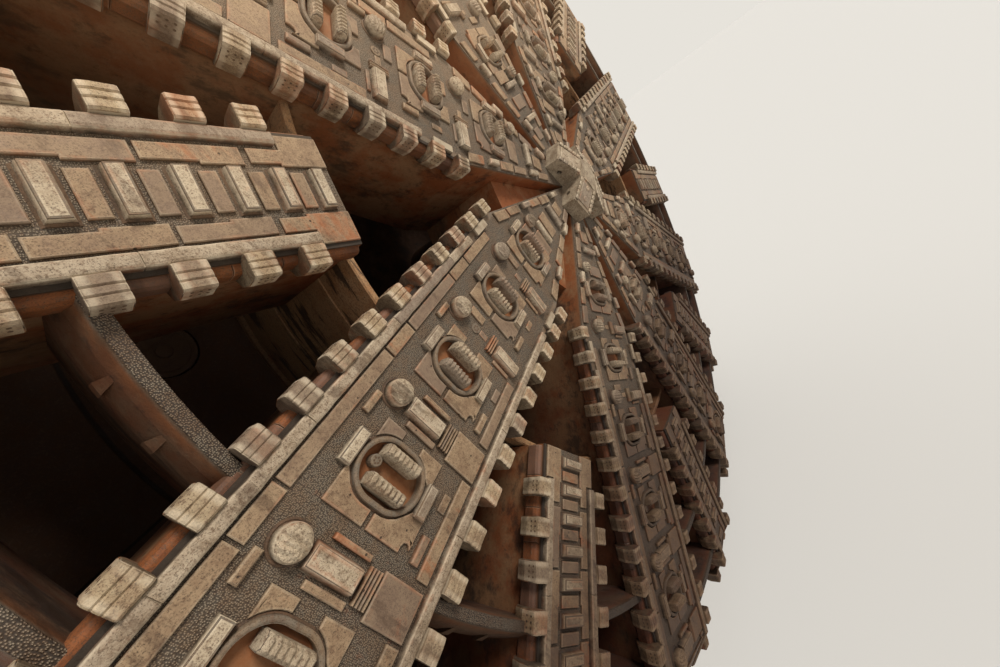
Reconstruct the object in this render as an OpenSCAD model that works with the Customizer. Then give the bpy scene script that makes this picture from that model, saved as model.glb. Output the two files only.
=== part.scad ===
// Earth pressure balance shield machine: spoked cutterhead, shield, drive, rams, erector and launch cradle.
// Millimetres. X across, Y along the drive from the face to the tail, Z up, origin under the cradle's middle.

/* [Cutterhead] */
// Radius of the cut, out to the gauge teeth
head_r = 8700; // [7600:10:9200]
// Number of long arms, with a short arm between each two
arm_count = 8; // [6:1:10]
// Turn of the first long arm from straight across, in degrees
head_phase = 4.13; // [0:0.01:45]
// Depth of the arm boxes from the face to the back
arm_depth = 1900; // [1200:10:2600]
// Half the width of a long arm's face
arm_half = 880; // [700:5:950]
// Half the width of a long arm's back, narrower so that the spoil runs through
arm_back_half = 760; // [500:5:900]
// Half the width of a short arm's face
short_half = 510; // [380:5:600]
// Half the width of a short arm's back
short_back_half = 420; // [300:5:500]
// Radius inside which the long arms narrow towards the middle
taper_r = 3100; // [2600:10:3400]
// Radius of the hub block that the long arms lie on
hub_r = 2250; // [2000:10:2500]
// How far the hub block stands back from the face
hub_back = 250; // [150:10:400]
// Radius where the short arms start
short_start_r = 5110; // [4200:10:6000]
// Radius where the face starts to slope back to the gauge
bevel_run = 650; // [400:10:1100]
// How far the face has sloped back at the gauge
bevel_drop = 380; // [150:5:700]

/* [Wear bars] */
// Height of the bars along each arm's edges
bar_h = 55; // [35:1:120]
// Width of those bars
bar_w = 92; // [70:1:130]
// Bare strip between a bar and the arm's edge
bar_inset = 36; // [10:1:60]
// Radius where the bars of the long arms start
bar_start_r = 3680; // [3500:10:4200]
// Length of the short bars inwards of them
stub_len = 290; // [150:5:400]

/* [Edge teeth] */
// Spacing of the scraper teeth along an arm's edge
tooth_pitch = 400; // [340:1:500]
// Length of one scraper tooth along the arm
tooth_len = 182; // [150:1:300]
// How far a tooth stands out sideways
tooth_out = 155; // [110:1:240]
// How far a tooth stands in front of the face
tooth_front = 92; // [60:1:160]
// Depth of a tooth's root on the arm's side
tooth_root = 260; // [200:1:400]
// Radius of the first tooth on a long arm
tooth_start_r = 2978; // [2900:1:3400]

/* [Face tools] */
// Spacing of the oval tool pockets along a long arm
pocket_pitch = 1220; // [1100:5:1400]
// Radius of the first pocket on every second long arm
pocket_first_r = 2650; // [2600:5:2900]
// How far inwards the pockets of the other long arms lie
pocket_stagger = 400; // [300:5:500]
// How far the pockets lie off the arm's middle line
pocket_off = 45; // [0:1:80]
// Length of a pocket's collar across the arm
pocket_len = 640; // [560:5:720]
// Width of a pocket's collar along the arm
pocket_w = 500; // [440:5:540]
// Wall of the collar
collar_wall = 36; // [30:1:60]
// Height of the collar
collar_h = 50; // [30:1:90]
// Depth of the pocket's floor below the face
pocket_floor = 45; // [10:1:80]
// Length of one ripper tool in a pocket
ripper_len = 336; // [280:2:400]
// Width of one ripper tool
ripper_w = 102; // [90:1:140]
// Height of one ripper tool over the face
ripper_h = 128; // [90:1:200]
// Length of the guard bar at each end of a pocket
guard_len = 270; // [200:5:320]
// Width of a guard bar
guard_w = 92; // [60:1:110]
// Height of a guard bar
guard_h = 78; // [40:1:110]
// Diameter of the round shell bits
shell_bit_d = 225; // [220:1:340]
// Height of the round shell bits
shell_bit_h = 110; // [90:5:200]
// How far from the arm's middle line the shell bits sit
shell_bit_off = 390; // [380:5:470]
// How far outwards of a pocket its shell bit sits
shell_bit_step = 670; // [620:5:720]
// Length, across the arm, of the block beside each shell bit
block_len = 385; // [300:5:420]
// Width of that block
block_w = 185; // [150:5:240]
// Height of that block
block_h = 82; // [80:1:160]
// Spacing of the cross bars on a short arm
cross_pitch = 312; // [280:2:400]
// Length of a cross bar
cross_len = 325; // [260:5:400]
// Width of a cross bar's foot
cross_w = 128; // [90:1:150]
// Height of a cross bar
cross_h = 78; // [50:1:120]

/* [Head rings] */
// Inner radius of the middle ring
ring_spacing = 920; // [700:10:1200]
// Inner radius of the outer ring
outer_ring_in = 960; // [850:10:1100]
// Radial thickness of both rings
ring_wall = 220; // [150:5:260]
// Depth of both rings
ring_depth = 1150; // [700:10:1400]
// Depth of the rim band behind the arm ends
band_depth = 620; // [400:10:800]
// Radial thickness of the rim band
band_wall = 150; // [80:5:250]

/* [Head drive] */
// Mean radius of the drive ring and of the legs that carry the head
leg_r = 3900; // [3700:10:4000]
// Diameter of one leg
leg_d = 900; // [600:10:1100]
// Length of the legs, from the arms' backs to the drive ring
leg_len = 1350; // [900:10:1800]
// Radial width of the drive ring
drive_ring_w = 800; // [700:10:900]
// Thickness of the drive ring
drive_ring_t = 420; // [300:10:600]
// Running gap around the drive ring in the bearing housing
drive_gap = 12; // [6:1:30]
// Diameter of the centre shaft
shaft_d = 1500; // [1000:10:1800]
// How far the centre bit stands in front of the face
centre_bit_h = 430; // [300:10:700]
// Width of the centre bit over its four lobes
centre_bit_w = 1560; // [1200:10:1700]
// Length of the mixing bars on the arms' backs
mixer_len = 900; // [500:10:1100]
// Diameter of the mixing bars
mixer_d = 300; // [200:10:400]
// Travel of the overcut tool beyond the gauge
overcut_travel = 120; // [50:5:200]

/* [Shield] */
// Outer radius of the shield's skin
shield_step = 70; // [40:5:200]
// Thickness of the skin
skin_t = 90; // [60:1:140]
// Gap between the arms' backs and the shield's front edge
head_gap = 60; // [30:1:150]
// Length of the front shield
front_len = 5400; // [4800:10:7000]
// Length of the tail shield
tail_len = 5600; // [5000:10:8000]
// Distance from the shield's front edge to the bulkhead
chamber_len = 2450; // [2300:10:3200]
// Thickness of the bulkhead
bulkhead_t = 160; // [100:5:300]
// Height of the ring frames inside the skin
frame_h = 320; // [200:5:500]
// Thickness of the ring frames
frame_t = 90; // [50:5:150]
// Length of the bearing housing behind the bulkhead
housing_len = 700; // [600:10:800]
// Radial wall of the bearing housing
housing_w = 1100; // [1060:10:1200]
// Number of drive motors
motor_count = 24; // [12:1:24]
// Diameter of a drive motor
motor_d = 520; // [350:10:600]
// Length of a drive motor
motor_len = 850; // [600:10:900]

/* [Thrust rams] */
// Number of thrust rams around the tail
ram_count = 28; // [20:1:32]
// Outer diameter of a ram's barrel
barrel_d = 520; // [400:10:600]
// Length of a barrel
barrel_len = 3000; // [2400:10:3400]
// Diameter of a ram's rod
rod_d = 380; // [280:10:440]
// Running gap around a rod
rod_gap = 0.3; // [0.1:0.1:1]
// Stroke of the rams
ram_stroke = 2100; // [1500:10:2300]
// Thickness of the shoe on each rod
shoe_t = 260; // [160:10:400]
// Gap between two neighbouring shoes
shoe_gap = 120; // [60:10:300]

/* [Screw conveyor] */
// Outer diameter of the screw's casing
screw_d = 1500; // [1100:10:1700]
// Wall of the casing
screw_wall = 70; // [40:5:110]
// Slope of the screw, in degrees
screw_tilt = 26; // [25:0.5:27]
// Depth of the screw's axis under the machine's axis, at the bulkhead
screw_drop = 5860; // [5850:10:6000]
// Length of the casing
screw_len = 9000; // [7500:10:10500]
// Length of the screw that shows in front of the bulkhead
screw_nose = 700; // [400:10:1000]
// Travel of the gate that closes the screw's outlet
gate_travel = 900; // [600:10:1000]

/* [Segment erector] */
// Inner radius of the erector's fixed track
track_r = 4900; // [4850:10:5000]
// Radial thickness of the track
track_w = 300; // [200:10:400]
// Length of the track
track_len = 420; // [300:10:600]
// Running gap between the track and the turning ring
track_gap = 12; // [6:1:30]
// Radial thickness of the turning ring
turn_ring_w = 320; // [250:10:340]
// Travel of the erector's gripper outwards
grip_travel = 800; // [400:10:900]
// Half the distance between the two deck girders
girder_off = 5300; // [5300:5:5350]
// Height of a girder
girder_h = 700; // [500:10:900]
// Width of a girder
girder_w = 420; // [300:10:600]

/* [Cradle] */
// Height of the machine's axis over the floor
cradle_under = 770; // [500:10:1200]
// Width of the cradle
cradle_w = 11000; // [9500:10:13000]
// Length of the cradle
cradle_len = 9600; // [8600:10:10400]
// Angle of the two rails either side of straight down
rail_angle = 27; // [20:0.5:32]
// Width of a rail
rail_w = 500; // [300:10:700]
// Height of a rail
rail_h = 260; // [160:10:300]
// Seat gap where curved faces rest on each other
seat_gap = 0.3; // [0.1:0.1:0.9]

/* [Hidden] */
$fn = 96;

steel = "#8a7460";
rust = "#9a5a34";
paint = "#b9bfb8";
dark_steel = "#4a4440";
concrete = "#a9a59c";

sector = 360 / arm_count;
// Radius of the boss in the middle, where the long arms' narrow ends stop
boss_r = 330;
boss_half = boss_r * tan(sector / 2) - 6;
ring_step = 8;
// Along Y, measured from the face
shield_front_y = arm_depth + head_gap;
bulkhead_y = shield_front_y + chamber_len;
tail_y = shield_front_y + front_len;
shield_end_y = tail_y + tail_len;
// The cradle's middle lies under the middle of the shield, and that is Y 0
face_y = -(shield_front_y + shield_end_y) / 2;
rim_step = 60;
body_r = head_r - rim_step;
// Where the face starts to slope back to the gauge
bevel_r = head_r - bevel_run;
outer_ring_r = head_r - outer_ring_in;
mid_ring_r = outer_ring_r - ring_spacing;
shield_r = head_r - shield_step;
axis_h = shield_r + cradle_under;
ring_front_y = 40;
leg_end_y = arm_depth + leg_len;
drive_ring_end_y = leg_end_y + drive_ring_t;
housing_r = leg_r + housing_w / 2;
skin_in_r = shield_r - skin_t;
ram_flange = 70;
ram_room = 20;
ram_r = skin_in_r - frame_h - (barrel_d + ram_flange) / 2 - ram_room;
barrel_y = tail_y - 1300;
plate_y = tail_y - frame_t - 400;
plate_t = 160;
plate_in = ram_r - barrel_d * 0.62;
rod_out = 350;
rod_in = 500;
track_y = tail_y + 1900;
track_lip = 120;
girder_end_y = track_y + track_len - 60;

// Places children from the head's own frame, centred on the face, into the machine's frame
module at_axis() {
    translate([0, face_y, axis_h]) children();
}

// Turns children, built along +X, to an angle from +X towards +Z
module spoke_at(angle) {
    rotate([0, -angle, 0]) children();
}

// Extrudes an outline of [y, z] points along X
module along_x(start, length) {
    translate([start, 0, 0]) rotate([90, 0, 90]) linear_extrude(length) children();
}

// Turns a profile of [radius, y] points about the machine's axis
module about_axis(profile) {
    rotate([-90, 0, 0]) rotate_extrude($fn = 360) polygon(profile);
}

// A round bar along Y
module bar_y(d, start, length) {
    translate([0, start, 0]) rotate([-90, 0, 0]) cylinder(d = d, h = length);
}

// A box given by its lowest corner and its size
module block_at(low, size) {
    translate(low) cube(size);
}

// How far the face has dropped back at a radius
function face_drop(r) = max(0, (r - bevel_r) * bevel_drop / (body_r - bevel_r));

// How far out a tooth may end for its outer corner to stay in the cut
function gauge_end(half) = sqrt(head_r * head_r - (half + tooth_out) * (half + tooth_out));

// How far out an arm's flat end may lie for its corners to stay inside the rim
function arm_end(half) = sqrt(body_r * body_r - half * half);

// Side view of an arm as a prism: flat in front, sloped to the gauge, raised by front
module side_view(start, half, front) {
    end = arm_end(half);
    drop = bevel_drop * (end - bevel_r) / (body_r - bevel_r);
    translate([0, 0, -half - 1]) linear_extrude(2 * half + 2)
        polygon([[start, -front], [bevel_r, -front], [end, drop - front], [end, arm_depth], [start, arm_depth]]);
}

// Box section of an arm, as [y, z] points
module arm_section(half, back_half) {
    polygon([[0, -half], [0, half], [arm_depth, back_half], [arm_depth, -back_half]]);
}

// Wear bars along both edges of an arm's face, from start outwards; they follow the slope to the gauge
module edge_bars(half, start) {
    intersection() {
        for (side = [0, 1]) mirror([0, 0, side])
            block_at([start, -bar_h, half - bar_inset - bar_w], [head_r - start, bar_h + bevel_drop + 60, bar_w]);
        side_view(start, half, bar_h);
    }
}

// Section of a scraper tooth on the edge at z = half, as [y, z] points; two grooves run along its front
module tooth_section(half) {
    f = tooth_front;
    w = tooth_out;
    polygon([[tooth_root, half - 70], [-15, half - 30], [-f * 0.88, half - 24], [-f, half - 10],
        [-f, half + w * 0.22], [-f * 0.89, half + w * 0.29], [-f, half + w * 0.36], [-f, half + w * 0.56],
        [-f * 0.89, half + w * 0.63], [-f, half + w * 0.7], [-f * 0.97, half + w * 0.93], [-f * 0.75, half + w],
        [tooth_root * 0.3, half + w], [tooth_root * 0.75, half + w * 0.75], [tooth_root, half + w * 0.2]]);
}

// Scraper teeth along both edges of an arm, between two radii
module edge_teeth(half, start, end) {
    count = floor((end - start - tooth_len) / tooth_pitch) + 1;
    for (side = [0, 1], i = [0 : count - 1]) {
        r = start + i * tooth_pitch;
        mirror([0, 0, side]) translate([0, face_drop(r + tooth_len / 2), 0])
            along_x(r, tooth_len) tooth_section(half);
    }
}

// A flat oval with its long way across the arm
module oval(length, width, height) {
    straight = length - width;
    hull_free_oval(straight, width, height);
}

// Two round ends and the straight between them, as true arcs
module hull_free_oval(straight, width, height) {
    rotate([90, 0, 0]) linear_extrude(height) {
        translate([-width / 2, -straight / 2]) square([width, straight]);
        for (end = [-1, 1]) translate([0, end * straight / 2]) circle(d = width, $fn = 48);
    }
}

// One ripper tool: a long block with a sloping crown, its length across the arm
module ripper() {
    translate([0, 0, -ripper_len / 2]) linear_extrude(ripper_len)
        polygon([[-ripper_w / 2, pocket_floor + 5], [-ripper_w / 2, -ripper_h * 0.7], [-ripper_w * 0.28, -ripper_h],
            [ripper_w * 0.28, -ripper_h], [ripper_w / 2, -ripper_h * 0.7], [ripper_w / 2, pocket_floor + 5]]);
}

// A bar with sloping sides, its length across the arm, centred on z = 0
module sloped_bar(length, width, height) {
    translate([0, 0, -length / 2]) linear_extrude(length)
        polygon([[-width / 2, 5], [-width * 0.36, -height], [width * 0.36, -height], [width / 2, 5]]);
}

// The hollow of a tool pocket
module pocket_hollow(r) {
    translate([r, pocket_floor, -pocket_off])
        oval(pocket_len - 2 * collar_wall, pocket_w - 2 * collar_wall, pocket_floor + collar_h + 1);
}

// A tool pocket: the oval collar, its two rippers and the guard bars at its ends
module pocket(r) {
    translate([r, 0, -pocket_off]) {
        difference() {
            translate([0, 5, 0]) oval(pocket_len, pocket_w, collar_h + 5);
            translate([0, 6, 0]) oval(pocket_len - 2 * collar_wall, pocket_w - 2 * collar_wall, collar_h + 8);
        }
        for (side = [-1, 1]) {
            translate([side * pocket_w * 0.24, 0, 0]) ripper();
            translate([-guard_len / 2, -guard_h, side * (pocket_len / 2 + guard_w / 2 + 22) - guard_w / 2])
                cube([guard_len, guard_h + 5, guard_w]);
        }
    }
}

// A round shell bit with its domed crown
module shell_bit(r) {
    translate([r, 0, -shell_bit_off]) rotate([90, 0, 0]) {
        translate([0, 0, -5]) cylinder(d = shell_bit_d, h = shell_bit_h * 0.7 + 5, $fn = 40);
        translate([0, 0, shell_bit_h * 0.7])
            cylinder(d1 = shell_bit_d, d2 = shell_bit_d * 0.62, h = shell_bit_h * 0.3, $fn = 40);
    }
}

// Front outline of a long arm: parallel edges that narrow towards the boss in the middle
module arm_outline() {
    rotate([90, 0, 0]) translate([0, 0, -arm_depth - 1]) linear_extrude(arm_depth + 2)
        polygon([[boss_r * 0.9, -boss_half * 0.9], [taper_r, -arm_half], [head_r, -arm_half], [head_r, arm_half],
            [taper_r, arm_half], [boss_r * 0.9, boss_half * 0.9]]);
}

short_tooth_start = 403;
raised_len = 370;
raised_w = 170;
raised_off = 440;

// One long arm, with its bars, scraper teeth, pockets, shell bits and blocks
module main_arm(index) {
    first = pocket_first_r - (index % 2) * pocket_stagger;
    pocket_count = floor((bevel_r - pocket_w / 2 - first) / pocket_pitch) + 1;
    color(steel) at_axis() spoke_at(180 + head_phase + index * sector) {
        difference() {
            intersection() {
                along_x(boss_r * 0.9, body_r) arm_section(arm_half, arm_back_half);
                arm_outline();
                side_view(boss_r * 0.8, arm_half, 0);
            }
            bar_y(2 * (boss_r + seat_gap), -10, arm_depth + 20);
            bar_y(2 * (hub_r + seat_gap), hub_back - seat_gap, arm_depth);
            for (i = [0 : pocket_count - 1]) pocket_hollow(first + i * pocket_pitch);
            if (index == overcut_arm) overcut_slot();
        }
        edge_bars(arm_half, bar_start_r);
        for (side = [0, 1]) mirror([0, 0, side])
            block_at([bar_start_r - 180 - stub_len, -bar_h - 5, arm_half - bar_inset - bar_w],
                [stub_len, bar_h + 10, bar_w]);
        edge_teeth(arm_half, tooth_start_r, gauge_end(arm_half));
        for (i = [0 : pocket_count - 1]) {
            r = first + i * pocket_pitch;
            next = r + shell_bit_step;
            pocket(r);
            if (next + shell_bit_d / 2 < bevel_r) {
                shell_bit(next);
                if (i > 1) translate([next, 0, -50]) sloped_bar(block_len, block_w, block_h);
                if (i < 2) translate([next + 20, 0, raised_off]) sloped_bar(raised_len, raised_w, block_h);
            }
        }
    }
}

// One short arm, with its bars, scraper teeth and cross bars
module short_arm(index) {
    count = floor((bevel_r - short_start_r - 150) / cross_pitch);
    color(steel) at_axis() spoke_at(180 + head_phase + (index + 0.5) * sector) {
        intersection() {
            along_x(short_start_r - 10, body_r) arm_section(short_half, short_back_half);
            side_view(short_start_r, short_half, 0);
        }
        edge_bars(short_half, short_start_r + 385);
        edge_teeth(short_half, short_start_r + short_tooth_start, gauge_end(short_half));
        for (i = [0 : count - 1]) translate([short_start_r + 150 + i * cross_pitch, 0, 0])
            sloped_bar(cross_len, cross_w, cross_h);
    }
}

// The boxes of all the arms with room for their teeth, for cutting what runs between them
module arm_boxes() {
    for (i = [0 : arm_count - 1]) {
        spoke_at(180 + head_phase + i * sector) arm_room(0, arm_half, arm_back_half);
        spoke_at(180 + head_phase + (i + 0.5) * sector) arm_room(short_start_r, short_half, short_back_half);
    }
}

module arm_room(start, half, back_half) {
    wide = half + tooth_out + ring_step;
    along_x(start, head_r - start) polygon([[-50, -wide], [-50, wide], [tooth_root + ring_step, wide],
        [tooth_root + ring_step, half - (half - back_half) * (tooth_root + ring_step) / arm_depth],
        [arm_depth, back_half], [arm_depth, -back_half],
        [tooth_root + ring_step, -half + (half - back_half) * (tooth_root + ring_step) / arm_depth],
        [tooth_root + ring_step, -wide]]);
}

// A ring of the head, in pieces that butt against the arms' sides
module head_ring(inner, wall, front, depth) {
    color(rust) at_axis() difference() {
        about_axis([[inner, front], [inner + wall, front], [inner + wall, front + depth], [inner, front + depth]]);
        arm_boxes();
    }
}

module middle_ring() {
    head_ring(mid_ring_r, ring_wall, ring_front_y, ring_depth);
}

module outer_ring() {
    head_ring(outer_ring_r, ring_wall, ring_front_y, ring_depth);
}

module rim_band() {
    head_ring(body_r - band_wall, band_wall, arm_depth - band_depth, band_depth);
}

// Hub block that the long arms lie on, with the boss in front
module hub() {
    color(steel) at_axis() {
        bar_y(2 * hub_r, hub_back, arm_depth - hub_back);
        bar_y(2 * boss_r, 0, hub_back + 1);
    }
}

shaft_end_y = bulkhead_y + bulkhead_t + 350;
shaft_bore_r = 120;
shaft_bore_len = 500;

// Centre shaft, from the hub block back through the bulkhead, with the swivel's bore in its rear end
module centre_shaft() {
    color(dark_steel) at_axis() difference() {
        bar_y(shaft_d, arm_depth, shaft_end_y - arm_depth);
        bar_y(2 * shaft_bore_r, shaft_end_y - shaft_bore_len, shaft_bore_len + 10);
    }
}

// Centre bit: four lobes around the axis, each a block with a sloping crown
module centre_bit() {
    lobe_w = centre_bit_w * 0.32;
    color(dark_steel) at_axis() spoke_at(head_phase + sector / 2)
        for (turn = [0 : 90 : 270]) rotate([0, turn, 0]) difference() {
            translate([0, 0, -lobe_w / 2]) linear_extrude(lobe_w)
                polygon([[0, 0], [0, -centre_bit_h], [centre_bit_w * 0.16, -centre_bit_h * 0.94],
                    [centre_bit_w * 0.5, -centre_bit_h * 0.62], [centre_bit_w * 0.5, 0]]);
            translate([centre_bit_w * 0.34, -centre_bit_h * 0.3, -lobe_w]) cylinder(d = 90, h = 2 * lobe_w, $fn = 32);
        }
}

// Round legs behind the long arms, between the arms' backs and the drive ring
module head_legs() {
    color(rust) at_axis() for (i = [0 : arm_count - 1])
        spoke_at(180 + head_phase + i * sector) translate([leg_r, 0, 0]) bar_y(leg_d, arm_depth, leg_len);
}

// Ring that the legs stand on and that turns in the bearing housing
module drive_ring() {
    color(dark_steel) at_axis() {
        inner = leg_r - drive_ring_w / 2;
        outer = leg_r + drive_ring_w / 2;
        about_axis([[inner, leg_end_y], [outer, leg_end_y], [outer, drive_ring_end_y], [inner, drive_ring_end_y]]);
    }
}

mixer_in = 500;

// Bars on the backs of the short arms that stir the spoil
module mixing_bars() {
    color(rust) at_axis() for (i = [0 : arm_count - 1])
        spoke_at(180 + head_phase + (i + 0.5) * sector) translate([mid_ring_r - mixer_in, 0, 0])
            bar_y(mixer_d, arm_depth, mixer_len);
}

overcut_arm = 5;
overcut_w = 300;
overcut_y = 900;
overcut_len = 700;
overcut_clear = 0.3;

// Slot in an arm's end for the overcut tool
module overcut_slot() {
    half = overcut_w / 2 + overcut_clear;
    block_at([body_r - overcut_len - overcut_clear, overcut_y - half, -half], [overcut_len + 200, 2 * half, 2 * half]);
}

// Tool that slides out of one arm's end to widen the cut in curves
module overcut_tool() {
    color(dark_steel) at_axis() spoke_at(180 + head_phase + overcut_arm * sector)
        translate([body_r - overcut_len, overcut_y - overcut_w / 2, -overcut_w / 2]) linear_extrude(overcut_w)
            polygon([[0, 0], [overcut_len - 40, 0], [overcut_len + 40, overcut_w * 0.35],
                [overcut_len + 40, overcut_w * 0.65], [overcut_len - 40, overcut_w], [0, overcut_w]]);
}

// Tube of the front shield with a bevelled cutting edge and ring frames inside
module front_shield() {
    color(paint) at_axis() about_axis([[shield_r - 30, shield_front_y], [shield_r, shield_front_y + 120],
        [shield_r, tail_y], [skin_in_r - frame_h, tail_y], [skin_in_r - frame_h, tail_y - frame_t],
        [skin_in_r, tail_y - frame_t], [skin_in_r, bulkhead_y + bulkhead_t + 900 + frame_t],
        [skin_in_r - frame_h, bulkhead_y + bulkhead_t + 900 + frame_t],
        [skin_in_r - frame_h, bulkhead_y + bulkhead_t + 900],
        [skin_in_r, bulkhead_y + bulkhead_t + 900], [skin_in_r, shield_front_y + 220]]);
}

// The screw's own frame: X right, Y along the screw from the bulkhead up to the rear
module along_screw() {
    translate([0, bulkhead_y + bulkhead_t / 2, -screw_drop]) rotate([screw_tilt, 0, 0]) children();
}

door_r = 420;
door_place = [5600, 1800];

screw_hole_run = 2000;

// Pressure wall across the shield, with the screw's hole, the housing's hole and two doors' holes
module bulkhead() {
    color(paint) at_axis() difference() {
        about_axis([[0, bulkhead_y], [skin_in_r, bulkhead_y], [skin_in_r, bulkhead_y + bulkhead_t],
            [0, bulkhead_y + bulkhead_t]]);
        along_screw() bar_y(screw_d, -screw_hole_run, 2 * screw_hole_run);
        bar_y(2 * housing_r, bulkhead_y - 10, bulkhead_t + 20);
        for (side = [-1, 1]) translate([side * door_place[0], 0, door_place[1]])
            bar_y(2 * door_r, bulkhead_y - 10, bulkhead_t + 20);
    }
}

// Round housing in the middle of the bulkhead: the drive ring turns in its front groove
module bearing_housing() {
    groove_in = leg_r - drive_ring_w / 2 - drive_gap;
    groove_out = leg_r + drive_ring_w / 2 + drive_gap;
    groove_y = drive_ring_end_y + seat_gap;
    front_y = leg_end_y + drive_ring_t / 2;
    back_y = bulkhead_y + bulkhead_t + housing_len;
    color(paint) at_axis() difference() {
        about_axis([[0, bulkhead_y], [groove_in - 150, bulkhead_y], [groove_in - 150, front_y],
            [groove_in, front_y], [groove_in, groove_y], [groove_out, groove_y], [groove_out, front_y],
            [housing_r, front_y], [housing_r, back_y], [leg_r - housing_w / 2, back_y],
            [leg_r - housing_w / 2, bulkhead_y + bulkhead_t], [0, bulkhead_y + bulkhead_t]]);
        bar_y(shaft_d + 2 * seat_gap, bulkhead_y - 10, bulkhead_t + 20);
    }
}

// Drive motors in a ring behind the housing, each a gearbox and a slimmer motor
module drive_motors() {
    back_y = bulkhead_y + bulkhead_t + housing_len;
    color("#5f6f78") at_axis() for (i = [0 : motor_count - 1])
        spoke_at(i * 360 / motor_count) translate([leg_r, 0, 0]) {
            bar_y(motor_d, back_y + seat_gap, motor_len * 0.45);
            bar_y(motor_d * 0.8, back_y + motor_len * 0.45 - 1, motor_len * 0.55);
        }
}

// Tube of the tail shield
module tail_shield() {
    color(paint) at_axis() about_axis([[shield_r, tail_y], [shield_r, shield_end_y], [skin_in_r, shield_end_y],
        [skin_in_r, tail_y]]);
}

// Puts children at each ram's place
module at_rams() {
    for (i = [0 : ram_count - 1]) spoke_at((i + 0.5) * 360 / ram_count) translate([ram_r, 0, 0]) children();
}

// Ring plate in the front shield that carries the ram barrels
module ram_plate() {
    color(paint) at_axis() difference() {
        about_axis([[plate_in, plate_y], [skin_in_r, plate_y], [skin_in_r, plate_y + plate_t],
            [plate_in, plate_y + plate_t]]);
        at_rams() bar_y(barrel_d, plate_y - 10, plate_t + 20);
    }
}

// Thrust ram barrels
module ram_barrels() {
    color("#6d7a80") at_axis() at_rams() difference() {
        union() {
            bar_y(barrel_d, barrel_y, barrel_len);
            bar_y(barrel_d + ram_flange, barrel_y + barrel_len - 160, 160);
        }
        bar_y(rod_d + 2 * rod_gap, barrel_y + 400, barrel_len);
    }
}

// Rods of the thrust rams, drawn in
module ram_rods() {
    color("#c9ccd0") at_axis() for (i = [0 : ram_count - 1])
        spoke_at((i + 0.5) * 360 / ram_count) translate([ram_r, 0, 0])
            bar_y(rod_d, barrel_y + rod_in, barrel_len - rod_in + rod_out - seat_gap);
}

// Shoes on the rods' ends, each a sector that pushes on the lining ring
module ram_shoes() {
    inner = ram_r - barrel_d * 0.6;
    outer = skin_in_r - 60;
    start = barrel_y + barrel_len + rod_out;
    pitch = 360 / ram_count;
    gap_turn = shoe_gap / outer * 180 / PI;
    color("#7c6a52") at_axis() for (i = [0 : ram_count - 1]) rotate([-90, 0, 0])
        rotate([0, 0, i * pitch + gap_turn / 2]) rotate_extrude(angle = pitch - gap_turn, $fn = 360)
            translate([inner, start]) square([outer - inner, shoe_t]);
}

outlet_half = 380;
outlet_len = 850;
outlet_y = screw_len - 1500;
gate_t = 90;
gate_edge = 120;
spout_wall = 60;
spout_drop = 60;
rail_lip = 50;
gate_half = outlet_half + gate_edge;
spout_half = gate_half + seat_gap + spout_wall;
spout_z = -screw_d / 2 - spout_drop;
gate_top_z = spout_z - seat_gap;
rail_low_z = gate_top_z - gate_t - seat_gap - rail_lip;
rail_run = gate_travel + 2 * gate_edge + outlet_len;
auger_shaft_d = 320;
auger_pitch = 1250;
auger_gap = 25;
auger_end_y = screw_len - 160;
auger_r = screw_d / 2 - screw_wall - auger_gap;

// Casing of the screw conveyor, with the outlet's spout and the gate's guides on its underside
module screw_casing() {
    color("#8f979b") at_axis() along_screw() {
        difference() {
            union() {
                bar_y(screw_d - 2 * seat_gap, -screw_nose, screw_len + screw_nose);
                bar_y(screw_d + 260, screw_len - 160, 160);
                block_at([-spout_half, outlet_y - gate_edge, spout_z],
                    [2 * spout_half, outlet_len + 2 * gate_edge, -spout_z * 0.6]);
            }
            bar_y(screw_d - 2 * screw_wall, -screw_nose - 10, auger_end_y + screw_nose + 10);
            block_at([-outlet_half, outlet_y, -screw_d], [2 * outlet_half, outlet_len, screw_d - 100]);
        }
        for (side = [0, 1]) mirror([side, 0, 0]) {
            block_at([gate_half + seat_gap, outlet_y - gate_edge - gate_travel, rail_low_z],
                [spout_wall, rail_run, spout_z - rail_low_z]);
            block_at([gate_half - rail_lip, outlet_y - gate_edge - gate_travel, rail_low_z],
                [rail_lip + seat_gap + 1, rail_run, rail_lip]);
        }
    }
}

// Flight of the auger and its shaft, which turn in the casing
module screw_auger() {
    flight_len = auger_end_y + screw_nose - 500;
    color("#9aa0a3") at_axis() along_screw() {
        bar_y(auger_shaft_d, -screw_nose, auger_end_y + screw_nose - seat_gap);
        translate([0, -screw_nose + 60, 0]) rotate([-90, 0, 0])
            linear_extrude(flight_len, twist = -360 * flight_len / auger_pitch, slices = 116, segments = 4)
                translate([0, -90]) square([auger_r, 180]);
    }
}

screw_gear_len = 420;
screw_motor_len = 520;

// Drive of the screw at its top end: a gearbox and a ring of motors
module screw_drive() {
    color("#5f6f78") at_axis() along_screw() {
        bar_y(screw_d * 0.9, screw_len, screw_gear_len);
        for (i = [0 : 3]) rotate([0, 45 + i * 90, 0]) translate([screw_d * 0.27, 0, 0])
            bar_y(screw_d * 0.26, screw_len + screw_gear_len - 1, screw_motor_len);
    }
}

// Flat gate under the outlet that slides down along the screw to open
module screw_gate() {
    color("#b08a3a") at_axis() along_screw()
        block_at([-gate_half, outlet_y - gate_edge, gate_top_z - gate_t], [2 * gate_half, outlet_len + 2 * gate_edge, gate_t]);
}

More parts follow.
